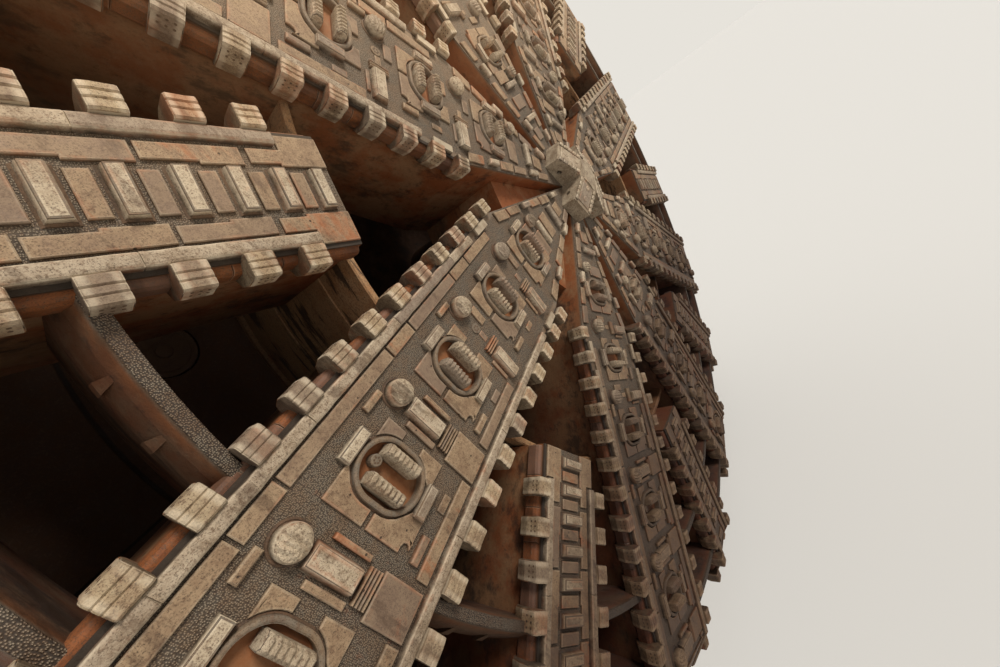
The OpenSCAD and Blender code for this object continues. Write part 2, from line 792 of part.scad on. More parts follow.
// Two girders from the bulkhead to the erector's track, with the cross beams between them
module deck_girders() {
    start = bulkhead_y + bulkhead_t;
    color("#c2a24a") at_axis() {
        for (side = [-1, 1]) block_at([side * girder_off - girder_w / 2, start, -girder_h / 2],
            [girder_w, girder_end_y - start, girder_h]);
        for (place = [0.55, 0.8]) block_at([-girder_off, start + place * (girder_end_y - start), girder_h / 2 - 60],
            [2 * girder_off, 320, 60]);
    }
}

tow_eye_r = 60;
tow_lug_t = 120;
tow_lug_len = 360;
tow_back = 520;
tow_boss_r = 150;
tow_y = track_y - track_lip - tow_back;

// Lugs on the girders' inner sides that the following train is towed by
module tow_lugs() {
    inner = girder_off - girder_w / 2;
    color(dark_steel) at_axis() for (side = [-1, 1]) difference() {
        union() {
            translate([side * (inner - tow_lug_len + 150), tow_y, -tow_lug_t / 2]) cylinder(r = 150, h = tow_lug_t);
            block_at([side > 0 ? inner - tow_lug_len + 150 : -inner, tow_y - 150, -tow_lug_t / 2],
                [tow_lug_len - 150, 300, tow_lug_t]);
        }
        translate([side * (inner - tow_lug_len + 150), tow_y, -tow_lug_t]) cylinder(r = tow_eye_r, h = 2 * tow_lug_t);
    }
}

// Fixed track of the erector, notched onto the girders
module erector_track() {
    color("#6d7a80") at_axis() difference() {
        about_axis([[track_r - turn_ring_w / 2, track_y - track_lip], [track_r + track_w, track_y - track_lip],
            [track_r + track_w, track_y + track_len], [track_r, track_y + track_len], [track_r, track_y],
            [track_r - turn_ring_w / 2, track_y]]);
        for (side = [-1, 1]) block_at([side * girder_off - girder_w / 2, track_y - track_lip - 10, -girder_h / 2],
            [girder_w, girder_end_y - track_y + track_lip + 10, girder_h]);
    }
}

// Ring that turns on the track
module erector_ring() {
    start = track_y + seat_gap;
    color("#d07a2a") at_axis() about_axis([[turn_in, start], [turn_out, start], [turn_out, track_y + track_len],
        [turn_in, track_y + track_len]]);
}

turn_out = track_r - track_gap;
turn_in = turn_out - turn_ring_w;
reach_in = turn_in - 250;
reach_out = turn_out + 500;
arm_block_w = 2000;
arm_block_t = 900;
grip_w = 760;
grip_t = 500;
grip_start_y = track_y + track_len + 200;
grip_plate_w = 1800;
grip_plate_t = 200;
grip_plate_over = 150;
weight_edge = 60;
weight_t = 600;
weight_len = 2600;

// Arm of the erector on the turning ring's rear face, with the gripper's guide in it, and its counterweight
module erector_arm() {
    start_y = track_y + track_len;
    color("#d07a2a") at_axis() spoke_at(90) {
        difference() {
            block_at([reach_in, start_y, -arm_block_w / 2], [reach_out - reach_in, arm_block_t, arm_block_w]);
            block_at([reach_in - 10, grip_start_y - seat_gap, -grip_w / 2 - seat_gap],
                [reach_out - reach_in + 20, grip_t + 2 * seat_gap, grip_w + 2 * seat_gap]);
        }
        block_at([-turn_out + weight_edge, start_y, -weight_len / 2], [turn_ring_w - 2 * weight_edge, weight_t, weight_len]);
    }
}

// Gripper of the erector: the stem in the guide and the plate that holds a segment
module erector_gripper() {
    color("#b9bfb8") at_axis() spoke_at(90) {
        block_at([reach_in - 200, grip_start_y, -grip_w / 2], [reach_out - reach_in + 230, grip_t, grip_w]);
        block_at([reach_out + 20, grip_start_y - grip_plate_over, -grip_plate_w / 2],
            [grip_plate_t, grip_t + 2 * grip_plate_over, grip_plate_w]);
    }
}

lock_wall = 200;
lock_len = 2300;

// Air locks behind the bulkhead's two doors
module air_locks() {
    color(paint) at_axis() for (side = [-1, 1]) translate([side * door_place[0], 0, door_place[1]])
        difference() {
            bar_y(2 * (door_r + lock_wall), bulkhead_y + bulkhead_t, lock_len);
            bar_y(2 * door_r, bulkhead_y + bulkhead_t - 10, lock_len - lock_wall);
        }
}

// Concrete cradle with a round trough under the shield and two seats for the rails
module cradle_base() {
    top_z = axis_h - shield_r * cos(rail_angle + 8);
    color(concrete) difference() {
        block_at([-cradle_w / 2, -cradle_len / 2, 0], [cradle_w, cradle_len, top_z]);
        translate([0, -cradle_len / 2 - 10, axis_h]) bar_y(2 * (shield_r + rail_h), 0, cradle_len + 20);
    }
}

// Steel rails that the shield lies on
module cradle_rails() {
    half_turn = asin(rail_w / 2 / shield_r);
    color(dark_steel) translate([0, -cradle_len / 2, axis_h]) for (side = [-1, 1])
        rotate([0, 90 + side * rail_angle, 0]) rotate([-90, 0, 0]) rotate([0, 0, -half_turn])
            rotate_extrude(angle = 2 * half_turn, $fn = 360)
                translate([shield_r + seat_gap, 0]) square([rail_h - 2 * seat_gap, cradle_len]);
}

hub();
centre_shaft();
centre_bit();
main_arm(0);  // main_arm_1
main_arm(1);  // main_arm_2
main_arm(2);  // main_arm_3
main_arm(3);  // main_arm_4
main_arm(4);  // main_arm_5
main_arm(5);  // main_arm_6
main_arm(6);  // main_arm_7
main_arm(7);  // main_arm_8
short_arm(0);  // short_arm_1
short_arm(1);  // short_arm_2
short_arm(2);  // short_arm_3
short_arm(3);  // short_arm_4
short_arm(4);  // short_arm_5
short_arm(5);  // short_arm_6
short_arm(6);  // short_arm_7
short_arm(7);  // short_arm_8
middle_ring();
outer_ring();
rim_band();
head_legs();
drive_ring();
mixing_bars();
overcut_tool();
front_shield();
bulkhead();
bearing_housing();
drive_motors();
tail_shield();
ram_plate();
ram_barrels();
ram_rods();
ram_shoes();
screw_casing();
screw_drive();
screw_auger();
screw_gate();
deck_girders();
tow_lugs();
erector_track();
erector_ring();
erector_arm();
erector_gripper();
air_locks();
cradle_base();
cradle_rails();
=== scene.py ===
# %% [markdown]
# A tunnel boring machine, seen close to its cutterhead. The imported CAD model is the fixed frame: every arm,
# ring, ram and shield plate is already there, in metres, with +Y along the drive and +Z up. This notebook
# adds the camera, a plain studio, the finishes, and the dressing that is too fine for the CAD: wear plates,
# weld beads, ridged tool crowns, seams and bolts. All new shapes are worked out with numpy as whole arrays.

# %% Load the frame
import math

import bpy
import numpy as np
from mathutils import Matrix, Vector


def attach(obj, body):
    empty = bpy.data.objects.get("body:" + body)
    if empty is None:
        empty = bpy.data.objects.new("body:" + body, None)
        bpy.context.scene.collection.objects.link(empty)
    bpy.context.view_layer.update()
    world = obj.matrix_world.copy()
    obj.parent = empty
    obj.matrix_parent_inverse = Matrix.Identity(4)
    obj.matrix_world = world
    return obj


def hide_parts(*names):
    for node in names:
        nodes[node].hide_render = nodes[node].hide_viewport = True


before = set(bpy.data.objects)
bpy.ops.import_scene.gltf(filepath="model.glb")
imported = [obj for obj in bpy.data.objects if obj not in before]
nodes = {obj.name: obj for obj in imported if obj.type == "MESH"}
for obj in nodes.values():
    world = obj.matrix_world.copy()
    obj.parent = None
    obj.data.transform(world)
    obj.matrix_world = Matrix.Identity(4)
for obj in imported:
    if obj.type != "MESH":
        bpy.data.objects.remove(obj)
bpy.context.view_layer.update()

# %% [markdown]
# The camera comes first. The photograph was taken from close in front of the head, about half way out along
# one arm, with a very wide lens that looks down along the face. Its place was worked out from the eight arms,
# which all meet in one point and turn by 45 degrees. The three rows are the camera's own axes in the world.

# %% Camera
FACE_Y = -7.46
AXIS_Z = 9.4
CAMERA_AT = (-7.3125, -10.2074, 10.2270)
CAMERA_RIGHT = (0.39446873, -0.71966735, -0.57137845)
CAMERA_DOWN = (-0.58753107, 0.280569, -0.7590048)
CAMERA_AHEAD = (0.70654205, 0.63510624, -0.31215123)
LENS_MM = 13.1
SENSOR_MM = 36.0

view_axes = np.array([CAMERA_RIGHT, -np.array(CAMERA_DOWN), -np.array(CAMERA_AHEAD)]).T
camera_data = bpy.data.cameras.new("camera")
camera_data.lens = LENS_MM
camera_data.sensor_width = SENSOR_MM
camera_data.clip_start = 0.05
camera_data.clip_end = 1200.0
camera = bpy.data.objects.new("camera", camera_data)
camera.matrix_world = Matrix.Translation(CAMERA_AT) @ Matrix(view_axes.tolist()).to_4x4()
bpy.context.scene.collection.objects.link(camera)
bpy.context.scene.camera = camera
bpy.context.scene.view_settings.view_transform = "Standard"
print("camera at", CAMERA_AT, "lens", camera_data.lens)

# %% [markdown]
# Each finish is a small node tree. A tree could be drawn by hand in the shader editor, but sixteen arms need
# the same one turned to sixteen angles, so a short helper adds a node, sets its values and links its inputs.
# Colours are given as they look on a screen and are turned to the linear values that the shader wants.

# %% Node helpers
def linear(red, green, blue):
    """Screen colour 0 to 255 turned to linear light: ((c + 0.055) / 1.055) to the power 2.4, or c / 12.92."""
    c = np.array([red, green, blue]) / 255.0
    values = np.where(c < 0.04045, c / 12.92, ((c + 0.055) / 1.055) ** 2.4)
    return tuple(float(x) for x in values) + (1.0,)


def add_node(tree, kind, inputs=None, **settings):
    """Adds a node; each input gets a value, or a link where a socket is given."""
    made = tree.nodes.new(kind)
    for key, value in settings.items():
        setattr(made, key, value)
    for key, value in (inputs or {}).items():
        if isinstance(value, bpy.types.NodeSocket):
            tree.links.new(value, made.inputs[key])
        else:
            made.inputs[key].default_value = value
    return made


class Finish:
    """A material being built; its methods add nodes and give back their outputs."""

    def __init__(self, name, metallic=0.0, specular=0.35):
        """Starts with the shader alone, and the place of the shaded point as its only input."""
        self.material = bpy.data.materials.new(name)
        self.material.use_nodes = True
        self.tree = self.material.node_tree
        self.shader = self.tree.nodes["Principled BSDF"]
        self.shader.inputs["Metallic"].default_value = metallic
        self.shader.inputs["Specular IOR Level"].default_value = specular
        self.place = self.add("ShaderNodeTexCoord").outputs["Object"]

    def add(self, kind, inputs=None, **settings):
        """Adds a node to this material's tree."""
        return add_node(self.tree, kind, inputs, **settings)

    def split(self, at=None):
        """The three parts x, y and z of a place."""
        return tuple(self.add("ShaderNodeSeparateXYZ", {"Vector": at or self.place}).outputs)

    def noise(self, scale, detail=4.0, rough=0.6, at=None, stretch=None):
        """Fractal noise, about 0.5 in the middle; stretch gives how much finer it is along each axis."""
        where = at or self.place
        if stretch:
            where = self.add("ShaderNodeMapping", {"Vector": where, "Scale": stretch}).outputs[0]
        return self.add("ShaderNodeTexNoise", {"Vector": where, "Scale": scale, "Detail": detail,
                                               "Roughness": rough}).outputs["Fac"]

    def cells(self, at, scale, randomness, **settings):
        """Distance to the nearest of many scattered points, counted in cells."""
        return self.add("ShaderNodeTexVoronoi", {"Vector": at, "Scale": scale, "Randomness": randomness},
                        feature="F1", **settings).outputs["Distance"]

    def math(self, operation, a, b=0.0):
        """One sum, quotient or other operation on a, or on a and b."""
        return self.add("ShaderNodeMath", {0: a, 1: b}, operation=operation).outputs[0]

    def times(self, product, *others):
        """Product of all values."""
        for other in others:
            product = self.math("MULTIPLY", product, other)
        return product

    def weigh(self, *pairs):
        """Weighted sum: value times weight, added up; the weights are metres where the sum is a height."""
        total, *rest = [self.times(value, weight) for value, weight in pairs]
        for part in rest:
            total = self.math("ADD", total, part)
        return total

    def step(self, value, low, high, out_low=0.0, out_high=1.0):
        """Smooth rise from out_low to out_high as the value goes from low to high."""
        return self.add("ShaderNodeMapRange", {"Value": value, "From Min": low, "From Max": high,
                                               "To Min": out_low, "To Max": out_high},
                        interpolation_type="SMOOTHSTEP").outputs[0]

    def gloss(self, noise, low, high):
        """Roughness from low to high as a noise goes from 0.3 to 0.7."""
        return self.step(noise, 0.3, 0.7, low, high)

    def mean(self, a, b):
        """Half of a plus half of b."""
        return self.weigh((a, 0.5), (b, 0.5))

    def mix(self, factor, a, b, blend="MIX"):
        """Colour a turned to b by a factor; 6 and 7 are the numbers of the node's two colour inputs."""
        return self.add("ShaderNodeMix", {"Factor": factor, 6: a, 7: b},
                        data_type="RGBA", blend_type=blend).outputs[2]

    def over(self, colour, *pairs):
        """Lays tints over a colour one by one: colour times (1 - share), plus tint times share."""
        for share, tint in pairs:
            colour = self.mix(share, colour, tint)
        return colour

    def coats(self, colour, *layers):
        """The same where a tint's share rises from 0 to its most as a value goes from low to high."""
        for value, low, high, most, tint, *blend in layers:
            colour = self.mix(self.step(value, low, high, 0.0, most), colour, tint, *blend)
        return colour

    def done(self, colour, roughness, height):
        """Links colour, roughness and, as bump, a height in metres; gives back the material."""
        bump = self.add("ShaderNodeBump", {"Height": height, "Strength": 1.0, "Distance": 1.0})
        for label, socket in (("Base Color", colour), ("Roughness", roughness), ("Normal", bump.outputs[0])):
            self.tree.links.new(socket, self.shader.inputs[label])
        return self.material


def turned(finish, angle):
    """Place in an arm's frame: u = x cos + height sin, w = y - face, v = height cos - x sin."""
    cosine, sine = math.cos(angle), math.sin(angle)
    shift = -np.array([[cosine, 0, sine], [0, 1, 0], [-sine, 0, cosine]]) @ np.array([0.0, FACE_Y, AXIS_Z])
    return finish.add("ShaderNodeMapping", {"Vector": finish.place, "Rotation": (0.0, angle, 0.0),
                                            "Location": tuple(float(s) for s in shift)}).outputs[0]


print("node helpers ready")

# %% [markdown]
# The head is cast and welded steel that has bored through wet ground: a tan film of dried soil, rust that
# bleeds orange from the edges, and paler metal where the ground has scoured it. The same three colours are
# mixed by noise at several sizes, from half a metre down to a few millimetres, so no two plates look alike.
# Painted light by height, partly dust, lightens the upper part, and painted shade darkens the lower part.

# %% Colours of the head
TAN = linear(126, 103, 80)
BROWN = linear(100, 76, 56)
PALE = linear(172, 156, 132)
GREY = linear(112, 101, 87)
DARK = linear(58, 44, 32)
# Soot dark, also the colour of painted shade in crevices, at plates' feet and deep in the head.
SOOT_AND_SHADE = linear(34, 25, 18)
ORANGE = linear(152, 86, 46)
DEEP_RUST = linear(92, 56, 34)
RUST_TAN = linear(140, 86, 48)
RUN_BROWN = linear(66, 46, 32)
# Painted light by height: a pale tint, partly dust, and a gain above one lighten the upper part of the head.
DUST_AND_TOP_LIGHT = linear(200, 170, 134)
TOP_LIGHT_GAIN = (1.48, 1.46, 1.42, 1.0)
SCOURED_EDGE = linear(208, 192, 166)
# Painted shade by height: this dims the lower part of the head.
LOW_SHADE_DIM = linear(140, 124, 112)
MAUVE = linear(104, 87, 76)
SIDE_BROWN = linear(142, 106, 74)
SIDE_RUST = linear(132, 76, 40)
# Soil brown, also the colour of painted shade on parts deep in the head.
SOIL_AND_SHADE = linear(66, 42, 25)
# Heights where the painted light rises, and where the painted shade falls.
TOP_LIGHT_HEIGHTS = (12.2, 16.5)
LOW_SHADE_HEIGHTS = (11.2, 7.0)


def painted_top_light_and_dust(finish, colour):
    """By height plus four times a noise: painted light and dust on the upper part, painted shade on the lower
    part.
    """
    uneven = finish.math("ADD", finish.split()[2], finish.times(finish.noise(0.55, 4.0, 0.6), 4.0))
    return finish.coats(colour, (uneven, *TOP_LIGHT_HEIGHTS, 0.22, DUST_AND_TOP_LIGHT), (uneven, *TOP_LIGHT_HEIGHTS, 1.0, TOP_LIGHT_GAIN, "MULTIPLY"),
                        (uneven, *LOW_SHADE_HEIGHTS, 1.0, LOW_SHADE_DIM, "MULTIPLY"))


def worn_steel(finish, base, pale, rust, rust_amount):
    """Base mottled with pale, rust where the mean of two noises is high, then specks of two fine noises."""
    big = finish.noise(0.9, 5.0, 0.62)
    medium = finish.noise(6.0, 6.0, 0.7)
    fine = finish.noise(34.0, 5.0, 0.75)
    grain = finish.noise(130.0, 4.0, 0.7)
    patch = finish.mean(big, medium)
    colour = finish.coats(base, (medium, 0.38, 0.62, 1.0, pale),
                          (patch, 0.585 - rust_amount, 0.68 - rust_amount, 0.75, rust),
                          (fine, 0.50, 0.64, 0.75, BROWN), (fine, 0.46, 0.34, 0.45, pale),
                          (grain, 0.52, 0.64, 0.75, DARK), (grain, 0.46, 0.36, 0.50, pale))
    return colour, medium, fine


print("head colours ready")

# %% [markdown]
# Between its wear plates the face is hardfaced: rows of small weld dots, about 25 mm apart, that hold a skin
# of soil. Modelling each dot would take millions of faces, so a cell pattern in the arm's own frame gives
# them as bump, with painted shade between the dots and, on their crowns, a pale that is partly wear and
# partly painted highlight. The same tree paints the arm's sides rust brown, darker with depth as painted
# shade, and leaves the bars and the teeth paler, because they are scoured.

# %% Arm finish
DOTS_PER_METRE = 70.0
DOT_STRETCH = 1.35


def hardfaced(finish, colour, medium, place, half, front_w):
    """Dots inside the bars near the face: painted shade between them, pale crowns partly painted highlight;
    pale bars above.
    """
    u, w, v = place
    across = finish.math("ABSOLUTE", v)
    flat = finish.add("ShaderNodeCombineXYZ", {"X": finish.times(u, DOT_STRETCH), "Y": v}).outputs[0]
    cells = finish.cells(flat, DOTS_PER_METRE, 0.7, voronoi_dimensions="2D")
    low = finish.step(w, -0.02, -0.008)
    ground = finish.times(finish.step(across, half - 0.10, half - 0.13),
                          finish.step(w, front_w, front_w - 0.016), low)
    # Painted shade between the dots; on their crowns a pale that is partly wear and partly painted highlight.
    crevice_shade = finish.times(finish.step(cells, 0.30, 0.58), ground, 0.85)
    bright = finish.times(finish.step(cells, 0.30, 0.08), ground, finish.step(medium, 0.3, 0.6, 0.15, 0.6))
    crack = finish.times(finish.step(across, half - 0.045, half - 0.036), low, 0.85)
    scoured = finish.times(finish.step(w, -0.03, -0.045), finish.step(medium, 0.30, 0.55, 0.35, 0.95),
                           finish.step(across, half - 0.135, half - 0.13))
    dots = finish.times(finish.step(cells, 0.55, 0.05), ground)
    return finish.over(colour, (crevice_shade, SOOT_AND_SHADE), (bright, PALE), (crack, SOOT_AND_SHADE), (scoured, PALE)), dots


def rusty_side(finish, medium, fine, w, at, browns):
    """Two browns in large stains, black runs downwards, tan near the front edge and painted shade deeper in
    w.
    """
    stain = finish.noise(1.7, 6.0, 0.7, at)
    run = finish.noise(1.9, 6.0, 0.72, stretch=(1.0, 1.0, 0.22))
    colour = finish.coats(browns[0], (stain, 0.40, 0.60, 1.0, browns[1]), (run, 0.50, 0.64, 0.75, SOOT_AND_SHADE),
                          (medium, 0.54, 0.68, 0.6, SOOT_AND_SHADE), (fine, 0.5, 0.7, 0.4, DARK))
    near = finish.times(finish.step(w, 0.20, 0.04), finish.step(medium, 0.34, 0.62, 0.1, 0.75))
    # Painted shade: the sides grow darker with depth w behind the face.
    return finish.coats(finish.over(colour, (near, RUST_TAN)), (w, 0.4, 2.1, 0.5, SOOT_AND_SHADE))


def arm_finish(name, angle, half, front_w=0.012, worn=TAN, browns=(SIDE_BROWN, SIDE_RUST)):
    """The hardfaced front turns to the rusty side where the depth w passes front_w."""
    finish = Finish(name, metallic=0.1)
    at = turned(finish, angle)
    place = finish.split(at)
    colour, medium, fine = worn_steel(finish, worn, GREY, ORANGE, 0.0)
    front, dots = hardfaced(finish, colour, medium, place, half, front_w)
    side = rusty_side(finish, medium, fine, place[1], at, browns)
    behind = finish.step(place[1], front_w - 0.008, front_w + 0.04)
    return finish.done(painted_top_light_and_dust(finish, finish.mix(behind, front, side)),
                       finish.gloss(medium, 0.62, 0.86),
                       finish.weigh((dots, 0.006), (fine, 0.003), (medium, 0.008)))


print("arm finish ready, dots per metre:", DOTS_PER_METRE)

# %% [markdown]
# The steel without dots comes in two kinds. The plain kind is for welds, legs and rings; it can carry black
# runs, and painted shade can darken it with depth behind the face. The other kind is for plates, bars and
# tools: its tone changes from one plate to the next, its worn arris is bare and pale, and painted shade,
# with some soil, darkens its foot. The noises live in the world's frame, so no stain repeats from arm to
# arm, as a picture laid on each arm would.

# %% Plain steel and piece steel
def plain_finish(name, base, pale, rust, amount, bumps=(0.004, 0.008), deep=None, runs=False, metallic=0.1):
    """Worn steel; deep holds two depths behind the face and how far painted shade darkens it between them."""
    finish = Finish(name, metallic=metallic)
    colour, medium, fine = worn_steel(finish, base, pale, rust, amount)
    if runs:
        run = finish.noise(2.3, 6.0, 0.75, stretch=(1.3, 1.3, 0.15))
        colour = finish.coats(colour, (run, 0.52, 0.60, 0.85, SOOT_AND_SHADE))
    # Painted shade: darker with depth behind the face, in the soil colour.
    if deep:
        colour = finish.coats(colour, (finish.split()[1], FACE_Y + deep[0], FACE_Y + deep[1], deep[2], SOIL_AND_SHADE))
    return finish.done(painted_top_light_and_dust(finish, colour), finish.gloss(medium, 0.6, 0.85),
                       finish.weigh((fine, bumps[0]), (medium, bumps[1])))


def piece_finish(name, base, pale, rust, rust_share, foot, streaks, bump, scour, pits):
    """Steel whose tone goes plate by plate; edge is 1 at a plate's foot, half at its arris, 0 inside."""
    finish = Finish(name, metallic=0.1)
    colour, medium, fine = worn_steel(finish, linear(*base), linear(*pale), rust, 0.0)
    tone, edge = (finish.add("ShaderNodeAttribute", attribute_name=label).outputs["Fac"]
                  for label in ("tone", "edge"))
    streak = finish.noise(2.6, 6.0, 0.75, stretch=(1.0, 1.0, 0.35))
    run = finish.noise(3.2, 6.0, 0.75, stretch=(1.0, 1.0, 0.25))
    redder = finish.math("ADD", finish.times(tone, 0.27), streak)
    rim = finish.times(finish.step(edge, 0.05, 0.45), finish.step(streak, 0.48, 0.62, 0.0, 0.55))
    bare = finish.times(finish.step(edge, 0.22, 0.42), finish.step(edge, 0.80, 0.60),
                        finish.step(medium, 0.36, 0.60, 0.3, 1.0), scour)
    # Painted shade, with some soil, darkens each plate's foot where it meets the face.
    foot_shade_and_soil = finish.times(finish.step(edge, 0.55, 1.0), finish.step(medium, 0.62, 0.40, 0.5, 1.0), foot)
    colour = finish.coats(colour, (tone, 0.45, 0.1, 0.55, MAUVE),
                          (redder, 0.84 - rust_share, 0.98 - rust_share, streaks, rust),
                          (run, 0.53, 0.64, 0.55, RUN_BROWN))
    colour = finish.over(colour, (rim, rust), (bare, SCOURED_EDGE), (foot_shade_and_soil, SOOT_AND_SHADE))
    heights = [(fine, bump), (medium, bump * 2)]
    if pits:
        pit = finish.step(finish.cells(finish.place, 8.0, 1.0), 0.085, 0.055)
        colour = finish.over(colour, (finish.times(pit, 0.85), SOOT_AND_SHADE))
        heights.append((pit, -pits))
    return finish.done(painted_top_light_and_dust(finish, colour), finish.gloss(medium, 0.6, 0.84),
                       finish.weigh(*heights))


print("steel finishes ready")

# %% [markdown]
# Eight long arms and eight short ones stand round the axis by turns, so two lists of angles place everything
# that rides on them. The table below gives each kind of piece its own steel: flat plates are the brownest,
# bars and tools are scoured paler, and the rails under the teeth are almost all rust.

# %% Arms and their steel
HEAD_PHASE = 4.13
ARM_COUNT = 8
SECTOR = 360.0 / ARM_COUNT
LONG_HALF = 0.88
SHORT_HALF = 0.51
long_angles = [math.radians(180.0 + HEAD_PHASE + i * SECTOR) for i in range(ARM_COUNT)]
short_angles = [math.radians(180.0 + HEAD_PHASE + (i + 0.5) * SECTOR) for i in range(ARM_COUNT)]


def dress(material, *wearers):
    """Gives the objects of some CAD nodes one material."""
    for node in wearers:
        slots = nodes[node].data.materials
        slots.clear()
        slots.append(material)


for i in range(ARM_COUNT):
    dress(arm_finish(f"long_arm_steel_{i + 1}", long_angles[i], LONG_HALF), f"main_arm_{i + 1}")
    dress(arm_finish(f"short_arm_steel_{i + 1}", short_angles[i], SHORT_HALF), f"short_arm_{i + 1}")

# Name, base, pale, rust, share of rust, soil and painted shade at the foot, streaks, bump in metres, bare
# arris, pits in metres
PIECE_STEELS = (
    ("wear_plate_steel", (128, 103, 78), (150, 126, 98), ORANGE, 0.08, 0.8, 0.60, 0.003, 0.20, 0.006),
    ("wear_bar_steel", (138, 119, 96), (170, 153, 130), ORANGE, -0.06, 0.9, 0.40, 0.004, 0.45, 0.0),
    ("tool_steel", (146, 127, 102), (180, 163, 138), ORANGE, 0.00, 0.9, 0.50, 0.005, 0.42, 0.0),
    ("tooth_steel", (142, 118, 90), (168, 148, 118), ORANGE, 0.06, 0.5, 0.38, 0.006, 0.50, 0.0),
    ("side_rail_rust", (112, 62, 30), (136, 80, 42), linear(72, 40, 22), 0.12, 0.8, 0.60, 0.003, 0.20, 0.0),
)
plate_steel, bar_steel, tool_steel, tooth_steel, rail_rust = (piece_finish(*row) for row in PIECE_STEELS)
weld_and_hole_shade_steel = plain_finish("weld_and_hole_shade_steel", DARK, BROWN, DEEP_RUST, 0.02, (0.006, 0.012))
collar_steel = plain_finish("collar_steel", linear(124, 103, 80), GREY, DEEP_RUST, 0.02, (0.003, 0.006))
print("arm finishes:", 2 * ARM_COUNT)

# %% [markdown]
# Most pieces of dressing are plates: an outline on the face, pulled up to a height, with a worn edge.
# Bevelled cubes would do, but the real plates are flame cut with notches and hollow sides. So one function
# takes any outline, insets it by the bevel and stacks four loops; a kit gathers all loops of one kind in one
# mesh. Two values go with each point: tone, one number per plate, and edge, which is 1 at the foot and 0
# inside.

# %% Plate maker
RIM = (1.0, 0.55, 0.40, 0.0)
FOOT_W = 0.004


def inset(outline, amount):
    """Moves each corner inwards along the sum of its two edge normals, over one plus their dot product."""
    edge = np.roll(outline, -1, axis=0) - outline
    normal = np.stack([-edge[:, 1], edge[:, 0]], axis=1) / np.linalg.norm(edge, axis=1)[:, None]
    before = np.roll(normal, 1, axis=0)
    dot = np.clip((normal * before).sum(axis=1), -0.6, 1.0)
    return outline + amount * (normal + before) / (1.0 + dot)[:, None]


def box_outline(u0, u1, v0, v1):
    """Corners of a rectangle, counter-clockwise seen from the front."""
    return np.array([[u0, v0], [u1, v0], [u1, v1], [u0, v1]])


def circle(u, v, radius, count):
    """Points of a circle: u + radius cos, v + radius sin."""
    turn = np.linspace(0, 2 * math.pi, count, endpoint=False)
    return np.column_stack([u + np.cos(turn) * radius, v + np.sin(turn) * radius])


def mirrored(outline, side):
    """The outline itself for side 1; for side -1 its mirror image across v = 0, in the other order."""
    if side > 0:
        return outline
    return np.column_stack([outline[:, 0], -outline[:, 1]])[::-1]


def stack(levels):
    """Loops from (outline, depth) pairs: each outline's points with the depth as their middle number."""
    return np.array([np.column_stack([o[:, 0], np.full(len(o), w), o[:, 1]]) for o, w in levels])


class Kit:
    """Loops of one finish, gathered as vertices and faces in an arm's own frame."""

    def __init__(self):
        """Empty lists of points, faces, edge values and sizes of the plates so far."""
        self.points, self.faces, self.edges, self.sizes, self.count = [], [], [], [], 0

    def keep(self, loops, edge):
        """Stores a piece's points and edge values, and gives back the number of each of its points."""
        rows, size = loops.shape[:2]
        index = np.arange(rows * size).reshape(rows, size) + self.count
        self.points.append(loops.reshape(-1, 3))
        self.edges.append(np.repeat(np.broadcast_to(np.asarray(edge, float), (rows,)), size))
        self.sizes.append(rows * size)
        self.count += rows * size
        return index

    def loft(self, loops, edge=0.4):
        """Side faces between neighbouring loops, a cap on the last one and one on the first."""
        index = self.keep(loops, edge)
        after = np.roll(index, -1, axis=1)
        sides = np.stack([index[:-1], after[:-1], after[1:], index[1:]], axis=-1)
        self.faces += sides.reshape(-1, 4).tolist()
        self.faces.append(index[-1].tolist())
        self.faces.append(index[0, ::-1].tolist())

    def ring(self, path, profile, edge=0.5):
        """A closed profile carried round a closed path: place = path point + outward * p0, at depth p1."""
        ahead = np.roll(path, -1, axis=0) - np.roll(path, 1, axis=0)
        outward = np.stack([ahead[:, 1], -ahead[:, 0]], axis=1) / np.linalg.norm(ahead, axis=1)[:, None]
        flat = path[:, None, :] + outward[:, None, :] * profile[None, :, 0:1]
        deep = np.broadcast_to(profile[None, :, 1], flat.shape[:2])
        index = self.keep(np.stack([flat[..., 0], deep, flat[..., 1]], axis=-1), edge)
        there = np.roll(index, -1, axis=0)
        quads = np.stack([index, there, np.roll(there, -1, axis=1), np.roll(index, -1, axis=1)], axis=-1)
        self.faces += quads.reshape(-1, 4).tolist()

    def plate(self, outline, height, bevel=0.006, foot=FOOT_W):
        """Four loops: the foot, the wall's top, the top inset by the bevel, and one inside the rim."""
        outline = np.asarray(outline, float)
        top = inset(outline, bevel)
        inner = inset(top, min(0.024, 0.22 * np.ptp(outline, axis=0).min()))
        self.loft(stack(((outline, foot), (outline, -(height - bevel)), (top, -height),
                         (inner, -height - 0.001))), RIM)

    def boxes(self, at, rows):
        """Rectangular plates from rows of u, u, v, v, height and bevel, with u counted from a place."""
        for u0, u1, v0, v1, height, *bevel in rows:
            self.plate(box_outline(at + u0, at + u1, v0, v1), height, *bevel)


print("plate maker ready")

# %% [markdown]
# A kit becomes a mesh once for each arm, turned to that arm's angle. Copies that share one mesh would be
# lighter, but each arm then has the same tones, so every mesh draws its own from a numbered seed. Outside
# 8.05 m the arms lean back to the gauge, and what lies there is bent along before it is turned.

# %% Pieces from kits
BEVEL_R = 8.05
BEVEL_SLOPE = 0.38 / 0.59


def follow_face(points):
    """Drops what lies outside the gauge slope's start back along it: w + slope * (u - start)."""
    bent = points.copy()
    bent[:, 1] += np.maximum(0.0, bent[:, 0] - BEVEL_R) * BEVEL_SLOPE
    return bent


